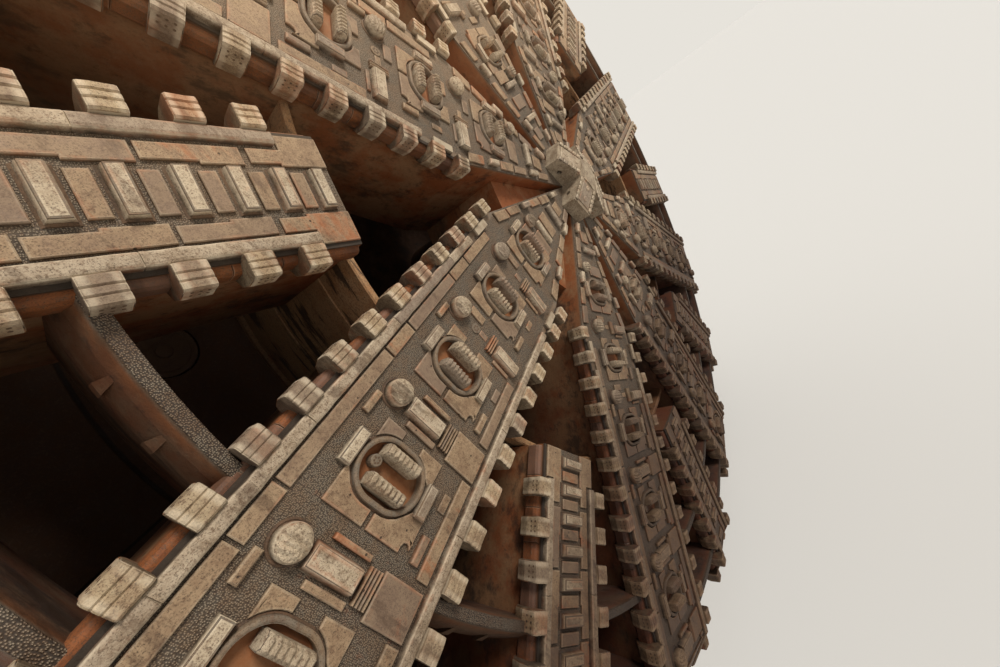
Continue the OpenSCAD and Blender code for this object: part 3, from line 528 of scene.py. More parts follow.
def make_piece(name, kit, angle, material, bend=None, seed=1, body="cutterhead"):
    """A kit turned to its arm as one mesh: x = u cos - v sin, z = u sin + v cos, y = face + w."""
    local = np.concatenate(kit.points)
    if bend is not None:
        local = bend(local)
    u, w, v = local.T
    placed = np.column_stack([u * math.cos(angle) - v * math.sin(angle), w + FACE_Y,
                              u * math.sin(angle) + v * math.cos(angle) + AXIS_Z])
    mesh = bpy.data.meshes.new(name)
    mesh.from_pydata(placed, [], kit.faces)
    tones = np.repeat(np.random.default_rng(seed).random(len(kit.sizes)), kit.sizes)
    for label, values in (("tone", tones), ("edge", np.concatenate(kit.edges))):
        layer = mesh.attributes.new(label, "FLOAT", "POINT")
        layer.data.foreach_set("value", values.astype(np.float32))
    mesh.update()
    mesh.materials.append(material)
    piece = bpy.data.objects.new(name, mesh)
    bpy.context.scene.collection.objects.link(piece)
    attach(piece, body)
    return piece


def dress_arms(*rows):
    """Pieces on all eight arms: label, kits by turns, angles, material, slot (not used), bend and first seed.
    """
    for i in range(ARM_COUNT):
        for label, kits, angles, material, slot, bend, seed in rows:
            make_piece(f"{label}_{i + 1}", kits[i % len(kits)], angles[i], material, bend, seed + i)


print("gauge slope", round(BEVEL_SLOPE, 3), "from", BEVEL_R)

# %% [markdown]
# A long arm carries a row of round-ended pockets, each with two ripper tools, and between them round shell
# bits, blocks and flat wear plates. The layout repeats every 1.22 m, so tables list the plates of one pocket
# and of the shell bit beside it. The flame-cut plates at a pocket have a hollow side that follows its collar.

# %% Layout of a long arm
FIRST_POCKETS = (2.65, 2.25)
POCKET_COUNT = 5
POCKET_PITCH = 1.22
POCKET_V = -0.045
POCKET_LEN = 0.64
POCKET_W = 0.50
COLLAR_GAP = 0.022
TOOL_STEP = 0.67
SHELL_V = -0.39
SHELL_R = 0.1125
PLUG_V = -0.09
NEAR_FROM = 2.5
GUARDS_FROM = 2.9
SIDES_FROM = 3.0
SIDES_END = 8.03
SLOPE_START = 8.065
SLOPE_END = 8.58


def pockets(first):
    """Number and radius of each pocket of an arm whose first one is given."""
    return [(i, first + i * POCKET_PITCH) for i in range(POCKET_COUNT)]


def has_bit(p):
    """Whether a shell bit beside the pocket at p is still inside the gauge slope."""
    return p + TOOL_STEP + SHELL_R < BEVEL_R


def oval_path(u, length, width, count=48):
    """A round-ended oval, long across the arm: a circle of the width pulled apart along v."""
    turn = np.linspace(0, 2 * math.pi, count, endpoint=False) + math.pi / count
    half = (length - width) / 2
    v = np.sin(turn) * width / 2 + np.sign(np.sin(turn)) * half
    return np.column_stack([u + np.cos(turn) * width / 2, POCKET_V + v])


def collar_reach(v):
    """Collar's reach along u at a place v: root of its radius squared less what v is past, squared."""
    past = np.maximum(np.abs(v - POCKET_V) - (POCKET_LEN - POCKET_W) / 2, 0.0)
    return np.sqrt(np.maximum((POCKET_W / 2 + COLLAR_GAP) ** 2 - past ** 2, 0.0))


def hollow_plate(p, v0, v1, u_far, bite):
    """A plate whose near side keeps a gap to the collar; a bite is a round hook cut in its far corner."""
    v = np.linspace(v1, v0, 8)
    near = np.column_stack([p + np.maximum(collar_reach(v), 0.10), v])
    far = np.array([[p + u_far, v0], [p + u_far, v1]])
    if bite:
        turn = np.radians([270, 225, 180, 140, 100])
        hook = np.column_stack([p + u_far - bite + np.cos(turn) * bite, v1 - bite + np.sin(turn) * bite])
        far = np.concatenate([far[:1], [[p + u_far, v1 - 2.0 * bite]], hook])
    return np.concatenate([near, far])


def near_plate(p, v0, v1, u_far):
    """The same on the side towards the middle of the head, without a hook."""
    v = np.linspace(v0, v1, 7)
    near = np.column_stack([p - np.maximum(collar_reach(v), 0.12), v])
    return np.concatenate([near, [[p - u_far, v1], [p - u_far, v0]]])


def ribs(u0, u1, v, pitch, width, count, height):
    """Rows of narrow ribs side by side across the arm: v + k * pitch, each as wide as given."""
    return [(u0, u1, v + k * pitch, v + k * pitch + width, height, 0.003) for k in range(count)]


# A plate beyond each pocket: v from and to, bite; one before it: v from and to, reach along u, height
FAR_REACH = 0.39
FAR_PLATES = ((-0.39, POCKET_V + 0.012, 0.0), (POCKET_V + 0.055, 0.42, 0.042))
NEAR_PLATES = ((-0.33, -0.12, 0.345, 0.026), (0.09, 0.335, 0.335, 0.028))
# Rows of u from and to, v from and to, height and, where it isn't 6 mm, bevel, in metres
STRIP_CUTS = ((3.30, 3.95), (3.95, 4.31), (4.31, 5.17), (5.17, 5.53), (5.53, 6.76), (6.76, 7.12), (7.12, 8.0))
STRIPS = [(a + 0.013, b - 0.013, -0.722, -0.605, 0.028) for a, b in STRIP_CUTS]
LAST_PLATES = ((-0.56, -0.30), (-0.27, 0.27), (0.30, 0.70))
OUTER_POCKET = [(0.52, 0.83, 0.33, 0.715, 0.034)] + ribs(0.545, 0.785, 0.197, 0.031, 0.013, 4, 0.050)
OUTER_BIT = [(-0.175, -0.135, -0.165, 0.165, 0.050, 0.008), (0.115, 0.165, -0.165, 0.165, 0.038, 0.008)]
INNER_BIT = ribs(-0.12, 0.11, 0.135, 0.036, 0.016, 3, 0.046) + [
    (-0.20, -0.10, -0.27, -0.05, 0.026), (0.125, 0.165, 0.30, 0.57, 0.028), (-0.05, 0.02, -0.02, 0.10, 0.014)]
SIDE_PLATE = [(-0.17, -0.02, 0.50, 0.575, 0.022)]
GUARDS = [(0.77, 0.965, -0.555, -0.495, 0.050, 0.010), (0.19, 0.40, 0.475, 0.545, 0.050, 0.010)]
SLOPE_PLATES = [(SLOPE_START, SLOPE_END, v0, v1, 0.030)
                for v0, v1 in ((-0.70, -0.36), (-0.33, 0.33), (0.36, 0.70))]


def long_arm_plates(first):
    """All flat wear plates of a long arm whose first pocket is at a radius."""
    kit = Kit()
    kit.boxes(0.0, STRIPS)
    for i, p in pockets(first):
        n = p + TOOL_STEP
        room = min(p + FAR_REACH, BEVEL_R - 0.01) - p
        for v0, v1, bite in FAR_PLATES:
            kit.plate(hollow_plate(p, v0, v1, room, bite), 0.030)
        for v0, v1, reach, height in NEAR_PLATES if p > NEAR_FROM else ():
            kit.plate(near_plate(p, v0, v1, reach), height)
        if n + 0.12 > BEVEL_R:
            if p + 0.47 < BEVEL_R:
                kit.boxes(0.0, [(p + 0.44, 8.0, v0, v1, 0.026) for v0, v1 in LAST_PLATES])
            continue
        if p > SIDES_FROM:
            kit.boxes(0.0, [(p + 0.86, min(p + 1.68, SIDES_END), 0.600, 0.715, 0.030)])
            kit.boxes(p, SIDE_PLATE)
        if i > 1:
            kit.boxes(p, OUTER_POCKET)
        kit.boxes(n, OUTER_BIT if i > 1 else INNER_BIT)
        if p > GUARDS_FROM:
            kit.boxes(p, GUARDS)
    kit.boxes(0.0, SLOPE_PLATES)
    return kit


print("pockets at", [[round(p, 2) for i, p in pockets(first)] for first in FIRST_POCKETS])

# %% [markdown]
# Tools. A ripper's crown is faced with hard metal in seven ridges across its length; a shell bit is a dome
# with the same ridges. Both are a height over a grid: a profile along one way, times a wave along the other.
# Blocks and cross bars are simpler, a sleeve whose sides lean in.

# %% Tool crowns
RIPPER_LEN = 0.344
RIPPER_W = 0.102
RIPPER_H = 0.128
RIPPER_RIDGES = 7
SHELL_RIDGES = 5
# Blocks beside a shell bit: u from the bit, v, length, width, height
OUTER_BLOCK = (0.0, -0.05, 0.385, 0.185, 0.082)
INNER_BLOCK = (0.02, 0.44, 0.37, 0.17, 0.082)
# Guard bars at a pocket's two ends: how far out, half length, half width, height, bevel, foot
GUARD_V = POCKET_LEN / 2 + 0.046 + 0.022
GUARD_HALF = (0.138, 0.049)
GUARD_RISE = (0.082, 0.016, 0.002)


def ripper_crown(kit, u, v, worn):
    """A closed sleeve over a ripper: sections along v, each an 8-point profile, top raised by a wave of v."""
    many = RIPPER_RIDGES * 4
    s = np.concatenate([[0.0, 0.02], 0.04 + 0.92 * np.arange(many) / (many - 1), [0.98, 1.0]])
    across = np.array([-0.53, -0.53, -0.47, -0.27, 0.27, 0.47, 0.53, 0.53]) * RIPPER_W
    depth = np.array([0.03, -0.55, -0.80, -1.00, -1.00, -0.80, -0.55, 0.03]) * RIPPER_H
    crest = np.concatenate([[0.0, 0.2], np.tile([0.15, 1.0, 1.0, 0.15], RIPPER_RIDGES), [0.2, 0.0]])
    lift = np.array([0, 0.002, 0.010, 0.026, 0.026, 0.010, 0.002, 0])
    ends = np.concatenate([[0.86, 0.96], np.ones(many), [0.96, 0.86]])[:, None]
    slope = 1.0 - worn * s[:, None]
    uu = u + across[None, :] * ends
    ww = np.where(depth > 0, depth, depth * slope * ends) - lift[None, :] * crest[:, None]
    vv = np.broadcast_to((v + (s - 0.5) * RIPPER_LEN)[:, None], uu.shape)
    kit.loft(np.stack([uu, ww, vv], axis=-1)[:, ::-1], 0.2)


def shell_crown(kit, u, v, diameter=2 * SHELL_R, height=0.11):
    """A dome over a shell bit: rings shrink inwards as they rise, and a wave of u ridges the top."""
    turn = np.linspace(0, 2 * math.pi, 30, endpoint=False)
    shrink = np.array([1.04, 1.04, 1.02, 0.93, 0.80, 0.64, 0.46, 0.28, 0.08])
    level = np.array([-0.004, 0.66, 0.80, 0.98, 1.10, 1.17, 1.21, 1.23, 1.24]) * height
    uu = u + np.cos(turn)[None, :] * shrink[:, None] * diameter / 2
    vv = v + np.sin(turn)[None, :] * shrink[:, None] * diameter / 2
    bow = 0.35 * np.sin((vv - v) * 30.0)
    ridge = 0.0085 * np.sin((uu - u) / diameter * SHELL_RIDGES * 2 * math.pi + bow)
    rise = level[:, None] + ridge * (shrink < 0.97)[:, None]
    kit.loft(np.stack([uu, -rise, vv], axis=-1), (1.0, 0.6, 0.4, 0.1, 0.0, 0.0, 0.0, 0.0, 0.0))


def sloped_cap(kit, u, v, length, width, height, swell=0.003, soft=0.012):
    """A sleeve over a block with sloping sides: three loops that lean in, and a soft top edge."""
    half_l = length / 2 + swell
    lean = width * 0.14
    foot = box_outline(u - width / 2 - swell, u + width / 2 + swell, v - half_l, v + half_l)
    top = box_outline(u - width / 2 + lean - swell, u + width / 2 - lean + swell, v - half_l, v + half_l)
    upper = inset(top, soft * 0.8)
    kit.loft(stack(((foot, 0.002), (foot * 0.12 + top * 0.88, -(height - soft) - swell * 0.5),
                    (upper, -(height + swell)), (inset(upper, 0.25 * width * 0.72), -(height + swell)))), RIM)


def long_arm_tools(first):
    """Crowns of the rippers, shell bits, blocks and guard bars of a long arm."""
    kit = Kit()
    for i, p in pockets(first):
        for side in (-1, 1):
            ripper_crown(kit, p + side * POCKET_W * 0.24, POCKET_V, worn=0.06 * (side > 0))
            v = POCKET_V + side * GUARD_V
            half_u, half_v = GUARD_HALF
            kit.plate(box_outline(p - half_u, p + half_u, v - half_v, v + half_v), *GUARD_RISE)
        n = p + TOOL_STEP
        if not has_bit(p):
            continue
        shell_crown(kit, n, SHELL_V)
        shift, *block = OUTER_BLOCK if i > 1 else INNER_BLOCK
        sloped_cap(kit, n + shift, *block)
    return kit


print("ripper crowns have", RIPPER_RIDGES, "ridges")

# %% [markdown]
# Towards the middle a long arm narrows to a point, and there the plates and small bars stand in two rows
# along its slanting edges. Each is a four-sided plate whose outer side follows the edge, and every third is
# a higher bar. Cross bars, plates and one shell bit fill the strip between the rows.

# %% The arms' narrow ends
BOSS_U = 0.297
BOSS_HALF = 0.118
FULL_U = 3.10
EDGE_RISE = (LONG_HALF - BOSS_HALF) / (FULL_U - BOSS_U)
EDGE_GAP = 0.030
EDGE_ROW = np.arange(0.86, 2.85, 0.345)
MID_FROM = 1.02
MID_PITCH = 0.31
MID_HALF = 0.20


def edge_half(u):
    """Half width of the narrow end at a radius: a straight line from the boss to the full width."""
    return BOSS_HALF + (u - BOSS_U) * EDGE_RISE


def slanted(u0, u1, near, wide, side):
    """A plate along one slanting edge, from near inside the edge to a width further in."""
    a, b = edge_half(u0) - near, edge_half(u1) - near
    return mirrored(np.array([[u0, a - wide], [u1, b - wide], [u1, b], [u0, a]]), side)


def narrow_end(first, plates, tools):
    """Rows of plates and small bars on both slanting edges, and cross bars and a bit between them."""
    for side in (-1, 1):
        for k, u in enumerate(EDGE_ROW):
            if k % 3 == (side > 0):
                tools.plate(slanted(u + 0.05, u + 0.25, EDGE_GAP + 0.012, 0.085, side), 0.088, 0.014)
            else:
                plates.plate(slanted(u, u + 0.30, EDGE_GAP, 0.12 + 0.02 * (k % 2), side), 0.032)
    for k, u in enumerate(np.arange(MID_FROM, first - 0.66, MID_PITCH)):
        wide = min(edge_half(u) - MID_HALF, MID_HALF)
        if wide < 0.045:
            continue
        if k % 2:
            sloped_cap(tools, u + 0.10, 0.0, 2 * wide, 0.11, 0.085, 0.0, 0.014)
        else:
            plates.boxes(u, [(0.0, 0.22, -wide, wide, 0.030)])
    u = first - 0.43
    if edge_half(u) > 0.5:
        shell_crown(tools, u, -0.30, 0.19, 0.10)
        plates.boxes(u, [(-0.10, 0.10, -0.10, 0.30, 0.030)])


print("an arm's edge rises", round(EDGE_RISE, 3), "m per metre")

# %% [markdown]
# The bars along both edges of an arm are welded on in lengths of about 1.1 m, with a dark seam between two.
# Each length is one more outline with small waves along it, two millimetres proud of the CAD bar, and its
# top edge falls away in two steps, so that it looks rolled rather than cut.

# %% Wear bars
BAR_H = 0.055
BAR_W = 0.092
BAR_INSET = 0.036
BAR_SWELL = 0.003
BAR_LEVELS = ((0.0, 0.002), (0.0, -(BAR_H - 0.001)), (0.009, -(BAR_H + 0.008)), (0.024, -(BAR_H + 0.013)),
              (0.034, -(BAR_H + 0.013)))


def edge_bar_caps(half, start, seams, end):
    """Lengths of wear bar on both edges: rectangles between seams, each with loops for a soft edge."""
    kit = Kit()
    cuts = [start - BAR_SWELL] + list(seams) + [end]
    v0, v1 = half - BAR_INSET - BAR_W - BAR_SWELL, half - BAR_INSET + BAR_SWELL
    for a, b in zip(cuts[:-1], cuts[1:]):
        u = np.linspace(a + 0.004, b - 0.004, max(2, int(round((b - a) / 0.09))))
        wave = 0.0018 * np.sin(u * 41.0) + 0.0014 * np.sin(u * 97.0)
        rows = np.concatenate([u, u[::-1]]), np.concatenate([v0 + wave, (v1 + wave)[::-1]])
        for side in (-1, 1):
            outline = mirrored(np.column_stack(rows), side)
            inwards = np.column_stack([0.0 * outline[:, 0], np.sign(outline[:, 1] - side * (v0 + v1) / 2)])
            levels = [(outline - inwards * draw, w) for draw, w in BAR_LEVELS]
            kit.loft(stack(levels), (1.0, 0.6, 0.3, 0.1, 0.0))
    return kit


print("wear bars are", BAR_W, "wide")

# %% [markdown]
# The oval collar of a pocket is cast with a rounded lip. The lip is a half-round profile carried round the
# oval path. A thinner round bead, the weld, runs where the collar and each shell bit meet the face. Two
# kinds of round plug, each with six holes, close old bolt places; each hole is a thin dark disc that
# paints its shade.

# %% Collars, welds and plugs
PLUG_R = 0.060
CAP_U = -0.02
CAP_V = POCKET_V - 0.17
CAP_R = 0.05
BOLT_RING = circle(0, 0, 0.028, 6)


def round_profile(width, height, base, count=7):
    """Half an ellipse of a width and height, standing on a base depth."""
    turn = np.linspace(0, math.pi, count)
    arc = np.column_stack([np.cos(turn) * width / 2, -base - np.sin(turn) * height])
    return np.concatenate([arc, [[-width / 2, -base + 0.05], [width / 2, -base + 0.05]]])


def disc(kit, u, v, radius, count, w0, w1):
    """A round disc between two depths."""
    kit.loft(stack(((circle(u, v, radius, count), w0), (circle(u, v, radius, count), w1))))


def long_arm_collars(first):
    """Collar lips at all pockets, a plug beside the second and a cap in the fourth."""
    kit = Kit()
    for i, p in pockets(first):
        kit.ring(oval_path(p, POCKET_LEN - 0.036, POCKET_W - 0.036), round_profile(0.042, 0.018, 0.038))
        if i == 1:
            kit.plate(circle(p + TOOL_STEP, PLUG_V, PLUG_R, 20), 0.014, 0.004)
        if i == 3:
            wide, top = circle(p + CAP_U, CAP_V, CAP_R, 20), circle(p + CAP_U, CAP_V, CAP_R - 0.008, 20)
            kit.loft(stack(((wide, 0.05), (wide, -0.03), (top, -0.036))), 0.2)
    return kit


def long_arm_welds(first):
    """Weld beads round collars and shell bits, and dark discs that paint the shade in the holes of the plug
    and the cap.
    """
    kit = Kit()
    for i, p in pockets(first):
        kit.ring(oval_path(p, POCKET_LEN + 0.01, POCKET_W + 0.01), round_profile(0.030, 0.014, -0.002, 5))
        if has_bit(p):
            kit.ring(circle(p + TOOL_STEP, SHELL_V, 0.126, 28), round_profile(0.030, 0.016, -0.002, 5))
        if i == 1:
            # The holes are thin dark discs: painted shade, not recesses.
            for u, v in BOLT_RING:
                disc(kit, p + TOOL_STEP + u, PLUG_V + v, 0.011, 8, -0.012, -0.0165)
        if i == 3:
            for u, v in BOLT_RING * 0.8:
                disc(kit, p + CAP_U + u, CAP_V + v, 0.008, 8, -0.035, -0.038)
    return kit


print("collars, welds and plugs ready")

# %% [markdown]
# Now the long arms are dressed. Their first pockets stand by turns at 2.65 and 2.25 m, so that the tools of
# one arm run in the gaps of the next. Two sets of kits are made and put on the eight arms by turns.

# %% Dress the long arms
plates = [long_arm_plates(first) for first in FIRST_POCKETS]
tools = [long_arm_tools(first) for first in FIRST_POCKETS]
for first, flat, high in zip(FIRST_POCKETS, plates, tools):
    narrow_end(first, flat, high)
collars = [long_arm_collars(first) for first in FIRST_POCKETS]
welds = [long_arm_welds(first) for first in FIRST_POCKETS]
bars = edge_bar_caps(LONG_HALF, 3.68, (4.18, 5.27, 6.36, 7.45, BEVEL_R), SLOPE_END)
dress_arms(("wear_plates", plates, long_angles, plate_steel, "head_steel", follow_face, 1),
           ("tool_crowns", tools, long_angles, tool_steel, "tool_steel", None, 11),
           ("pocket_collars", collars, long_angles, collar_steel, "head_steel", None, 21),
           ("face_welds", welds, long_angles, weld_and_hole_shade_steel, "rusty_steel", None, 31),
           ("wear_bars", [bars], long_angles, bar_steel, "head_steel", follow_face, 41))
print("points on one long arm:", [kits[0].count for kits in (plates, tools, collars, welds, [bars])])

# %% [markdown]
# A short arm fills the wedge between two long ones. It carries cross bars with flat plates between them, a
# row of longer stepped plates along each side, and the same edge bars and teeth. A low skirt of weld metal
# goes round each cross bar.

# %% Short arms
SHORT_START = 5.11
CROSS_START = SHORT_START + 0.15
CROSS_PITCH = 0.312
CROSS_COUNT = int((BEVEL_R - SHORT_START - 0.15) / CROSS_PITCH)
STEPPED = ((5.115, 5.50, 5.72), (5.77, 6.05, 6.36), (6.385, 6.70, 6.99), (7.015, 7.40, 7.70),
           (7.725, 7.86, 8.03))


def short_arm_plates():
    """Plates between the cross bars, then the stepped rows: narrow to b, wider from b to c."""
    kit = Kit()
    for i in range(CROSS_COUNT + 1):
        kit.boxes(CROSS_START + i * CROSS_PITCH + 0.155, [(-0.055, 0.055, -0.152, 0.152, 0.026)])
    for a, b, c in STEPPED:
        corners = [[a, 0.205], [b, 0.205], [b, 0.225], [c, 0.225], [c, 0.345]]
        tail = [[b - 0.03, 0.345], [b - 0.03, 0.47], [a, 0.47]] if a < 5.2 else [[a, 0.345]]
        for side in (1, -1):
            kit.plate(mirrored(np.array(corners + tail), side), 0.026)
    kit.boxes(0.0, [(8.06, 8.6, -0.33, 0.33, 0.026)])
    return kit


def cross_bars(length, width, height, soft):
    """One sloping block on each cross bar's place."""
    kit = Kit()
    for i in range(CROSS_COUNT):
        sloped_cap(kit, CROSS_START + i * CROSS_PITCH, 0.0, length, width, height, soft=soft)
    return kit


short_plates = short_arm_plates()
short_tools = cross_bars(0.325, 0.128, 0.078, 0.018)
short_welds = cross_bars(0.352, 0.156, 0.024, 0.012)
short_bars = edge_bar_caps(SHORT_HALF, 5.495, (6.6, 7.7, BEVEL_R), 8.60)
dress_arms(("short_plates", [short_plates], short_angles, plate_steel, "head_steel", follow_face, 51),
           ("cross_bar_crowns", [short_tools], short_angles, tool_steel, "tool_steel", None, 61),
           ("cross_bar_welds", [short_welds], short_angles, weld_and_hole_shade_steel, "rusty_steel", None, 71),
           ("short_wear_bars", [short_bars], short_angles, bar_steel, "head_steel", follow_face, 81))
print("points on one short arm:", short_plates.count + short_tools.count + short_bars.count)

# %% [markdown]
# Under the teeth a rusty rail runs along each side of an arm and carries them. It is one rounded bar: a
# profile of seven points carried along the arm, which leans back with the gauge slope at its outer end.

# %% Side rails
MIRROR = np.array([1.0, 1.0, -1.0])
RAIL_LENGTH = 0.35
RAIL_PROFILE = np.array([[0.225, -0.012], [0.225, 0.030], [0.200, 0.052], [0.085, 0.058], [0.052, 0.044],
                         [0.036, 0.020], [0.034, -0.012]])


def both_sides(kit, loops, edge):
    """Lofts loops on one side of the arm, and their mirror image on the other."""
    kit.loft(loops[:, ::-1], edge)
    kit.loft(loops * MIRROR, edge)


def side_rails(half, start, end):
    """The profile at places along the arm, in lengths whose two ends draw in a little."""
    kit = Kit()
    cuts = np.linspace(start, end, int((end - start) / RAIL_LENGTH) + 2)
    draw = np.array([0.004, 0.0, 0.0, 0.004])[:, None]
    for a, b in zip(cuts[:-1], cuts[1:]):
        u = np.array([a + 0.002, a + 0.010, b - 0.010, b - 0.002])
        ww = RAIL_PROFILE[None, :, 0] + draw
        vv = half + RAIL_PROFILE[None, :, 1] - draw
        uu = np.broadcast_to(u[:, None], ww.shape)
        both_sides(kit, np.stack([uu, ww, vv], axis=-1), (0.8, 0.2, 0.2, 0.8))
    return kit


long_rails = side_rails(LONG_HALF, 3.12, 8.50)
short_rails = side_rails(SHORT_HALF, SHORT_START + 0.02, 8.54)
dress_arms(("long_rails", [long_rails], long_angles, rail_rust, "rusty_steel", follow_face, 120),
           ("short_rails", [short_rails], short_angles, rail_rust, "rusty_steel", follow_face, 130))
print("points in a long arm's rails:", long_rails.count)

# %% [markdown]
# The scraper teeth stand along both edges of every arm. Two grooves run along the front of each casting and
# its ends are softened. Each is a closed profile carried along the arm in six sections, with a small wave
# from one section to the next, and its outer side shows two rows of three bolt holes, each a thin dark disc
# that paints the shade of a hole.

# %% Teeth
CUT_R = 8.70
TOOTH_LEN = 0.182
TOOTH_PITCH = 0.40
TOOTH_REACH = 0.155
TOOTH_MIDDLE = np.array([0.05, 0.065])
TOOTH_PROFILE = np.array([[0.24, -0.030], [-0.010, -0.020], [-0.080, -0.026], [-0.095, -0.012],
                          [-0.095, 0.034], [-0.083, 0.045], [-0.095, 0.056], [-0.095, 0.087],
                          [-0.083, 0.098], [-0.095, 0.109], [-0.091, 0.146], [-0.068, 0.158],
                          [0.080, 0.158], [0.197, 0.118], [0.262, 0.030]])
TOOTH_PLACES = np.array([-0.003, 0.010, 0.062, 0.120, 0.172, 0.185])
TOOTH_DRAW = np.array([0.93, 1.0, 1.0, 1.0, 1.0, 0.93])[:, None, None]
HOLE_SPOTS = [(a, b) for a in (0.045, 0.091, 0.137) for b in (-0.036, 0.016)]
HOLE_R = 0.0095


def tooth_caps(half, start, end):
    """Sections of a tooth at six places along it; each leans by a wave, and the two ends draw in."""
    kit, holes = Kit(), Kit()
    section = TOOTH_MIDDLE + (TOOTH_PROFILE - TOOTH_MIDDLE)[None] * TOOTH_DRAW
    for i in range(int((end - start - TOOTH_LEN) / TOOTH_PITCH) + 1):
        r = start + i * TOOTH_PITCH
        drop = max(0.0, (r + TOOTH_LEN / 2 - BEVEL_R) * BEVEL_SLOPE)
        wave = -0.003 * (1.0 + np.sin(TOOTH_PLACES * 40.0 + i * 1.7))
        ww = section[..., 0] + np.where(section[..., 0] < 0.0, wave[:, None], 0.0) + drop
        uu = np.broadcast_to(r + TOOTH_PLACES[:, None], ww.shape)
        both_sides(kit, np.stack([uu, ww, section[..., 1] + half], axis=-1), (1.0, 0.5, 0.2, 0.2, 0.5, 1.0))
        # Each bolt hole is a thin dark disc on the side face: painted shade of a hole, not a recess.
        for a, b in HOLE_SPOTS:
            rim = circle(r + a, b + drop, HOLE_R, 8)
            both = np.stack([np.column_stack([rim, np.full(8, half + out)]) for out in (0.156, 0.160)])
            holes.loft(both)
            holes.loft((both * MIRROR)[:, ::-1])
    return kit, holes


def gauge_end(half):
    """Where a tooth's outer corner reaches the cut: square root of cut squared minus its reach squared."""
    return math.sqrt(CUT_R ** 2 - (half + TOOTH_REACH) ** 2)


rows = []
for label, half, angles, start in (("long", LONG_HALF, long_angles, 2.978),
                                   ("short", SHORT_HALF, short_angles, SHORT_START + 0.403)):
    teeth, holes = tooth_caps(half, start, gauge_end(half))
    rows += [(f"{label}_teeth", [teeth], angles, tooth_steel, "tool_steel", None, 90),
             (f"{label}_teeth_holes", [holes], angles, weld_and_hole_shade_steel, "tool_steel", None, 100)]
    print("points in a", label, "arm's teeth:", teeth.count, holes.count)
dress_arms(*rows)

# %% [markdown]
# The centre bit's four lobes are set with hard inserts. Each lobe gets two rows of small blocks along its
# sides, a worn plate between them and two round studs. They are laid out flat, and a bend then lifts them
# onto the lobe's sloping crown, as the gauge slope did for the arms.

# %% Centre bit
LOBE_START = 0.25
LOBE_END = 0.78
LOBE_ROW = 0.208
CROWN_HIGH = 0.404
CROWN_LOW = 0.267


def follow_crown(points):
    """Lifts what lies on a lobe: depth less the crown's height, a straight line from its start to its end."""
    bent = points.copy()
    share = np.clip((bent[:, 0] - LOBE_START) / (LOBE_END - LOBE_START), 0.0, 1.0)
    bent[:, 1] -= CROWN_HIGH + (CROWN_LOW - CROWN_HIGH) * share
    return bent


lobe = Kit()
for u in np.arange(LOBE_START + 0.035, LOBE_END - 0.06, 0.098):
    for v in (-LOBE_ROW, LOBE_ROW):
        lobe.boxes(u, [(0.0, 0.078, v - 0.034, v + 0.034, 0.034, 0.012)])
lobe.boxes(0.0, [(LOBE_START + 0.05, LOBE_END - 0.06, -0.145, 0.145, 0.016)])
for u in (LOBE_START + 0.12, LOBE_END - 0.17):
    lobe.plate(circle(u, 0.0, 0.045, 20), 0.030, 0.008)
for k in range(4):
    lobe_turn = short_angles[0] + math.pi / 2 * k
    make_piece(f"centre_inserts_{k + 1}", lobe, lobe_turn, tool_steel, follow_crown, k + 140)
print("points on one lobe:", lobe.count)

# %% [markdown]
# Two rings tie the arms together. Each is a box section whose front strip, 90 mm wide, has rounded edges and
# a slope behind it, and the inner one has small gussets on its outer side. The profile is carried round
# between each long arm and the next short one, and its two ends follow the slanting sides of those arms.
# Rings and hub wear the arms' finish with a half width so large, NO_BARS, that no bar shows on them.

# %% Rings
NO_BARS = 9.0
RING_FRONT = 0.06
HUB_FRONT = 0.05
RING_PROFILE = np.array([[0.020, 0.046], [0.026, 0.040], [0.100, 0.040], [0.107, 0.046], [0.165, 0.190],
                         [0.215, 0.400], [0.22, 0.460], [0.22, 1.19], [0.0, 1.19], [0.0, 0.22]])
ARM_DEPTH = 1.9
SIDE_OVERLAP = 0.02
LONG_BACK_HALF = 0.76
SHORT_BACK_HALF = 0.42
GUSSET = np.array([[0.118, 0.110], [0.235, 0.330], [0.245, 0.400], [0.180, 0.400]])
GUSSET_PARTS = (0.36, 0.66)
GUSSET_TURN = np.array([[-0.0008, -0.0060, -0.0060, -0.0008], [0.0008, 0.0060, 0.0060, 0.0008]])


def side_turn(half, back_half, r, w):
    """Angle from an arm's middle to its side: arc sine of its half width there, less the overlap, over r."""
    return np.arcsin((half + (back_half - half) * w / ARM_DEPTH - SIDE_OVERLAP) / r)


def arc_loops(r, w, turn):
    """Loops at angles: place along the arm r cos, depth w, across r sin."""
    return np.stack([r * np.cos(turn), np.broadcast_to(w, turn.shape), r * np.sin(turn)], axis=-1)


def ring_kit(inner, gussets):
    """Sections of the ring between each long arm and the next short one, with gussets on the outer side."""
    kit = Kit()
    r, w = inner + RING_PROFILE[:, 0], RING_PROFILE[:, 1]
    long_edge = side_turn(LONG_HALF, LONG_BACK_HALF, r, w)
    short_edge = side_turn(SHORT_HALF, SHORT_BACK_HALF, r, w)
    sector = math.radians(SECTOR)
    share = np.linspace(0.0, 1.0, 14)[:, None]
    for i in range(ARM_COUNT):
        for a, b in ((long_edge, sector / 2 - short_edge), (sector / 2 + short_edge, sector - long_edge)):
            kit.loft(arc_loops(r, w, i * sector + a + (b - a) * share))
            for part in GUSSET_PARTS if gussets else ():
                at = i * sector + a.mean() + (b.mean() - a.mean()) * part + GUSSET_TURN
                kit.loft(arc_loops(inner + GUSSET[:, 0], GUSSET[:, 1], at), 0.5)
    return kit


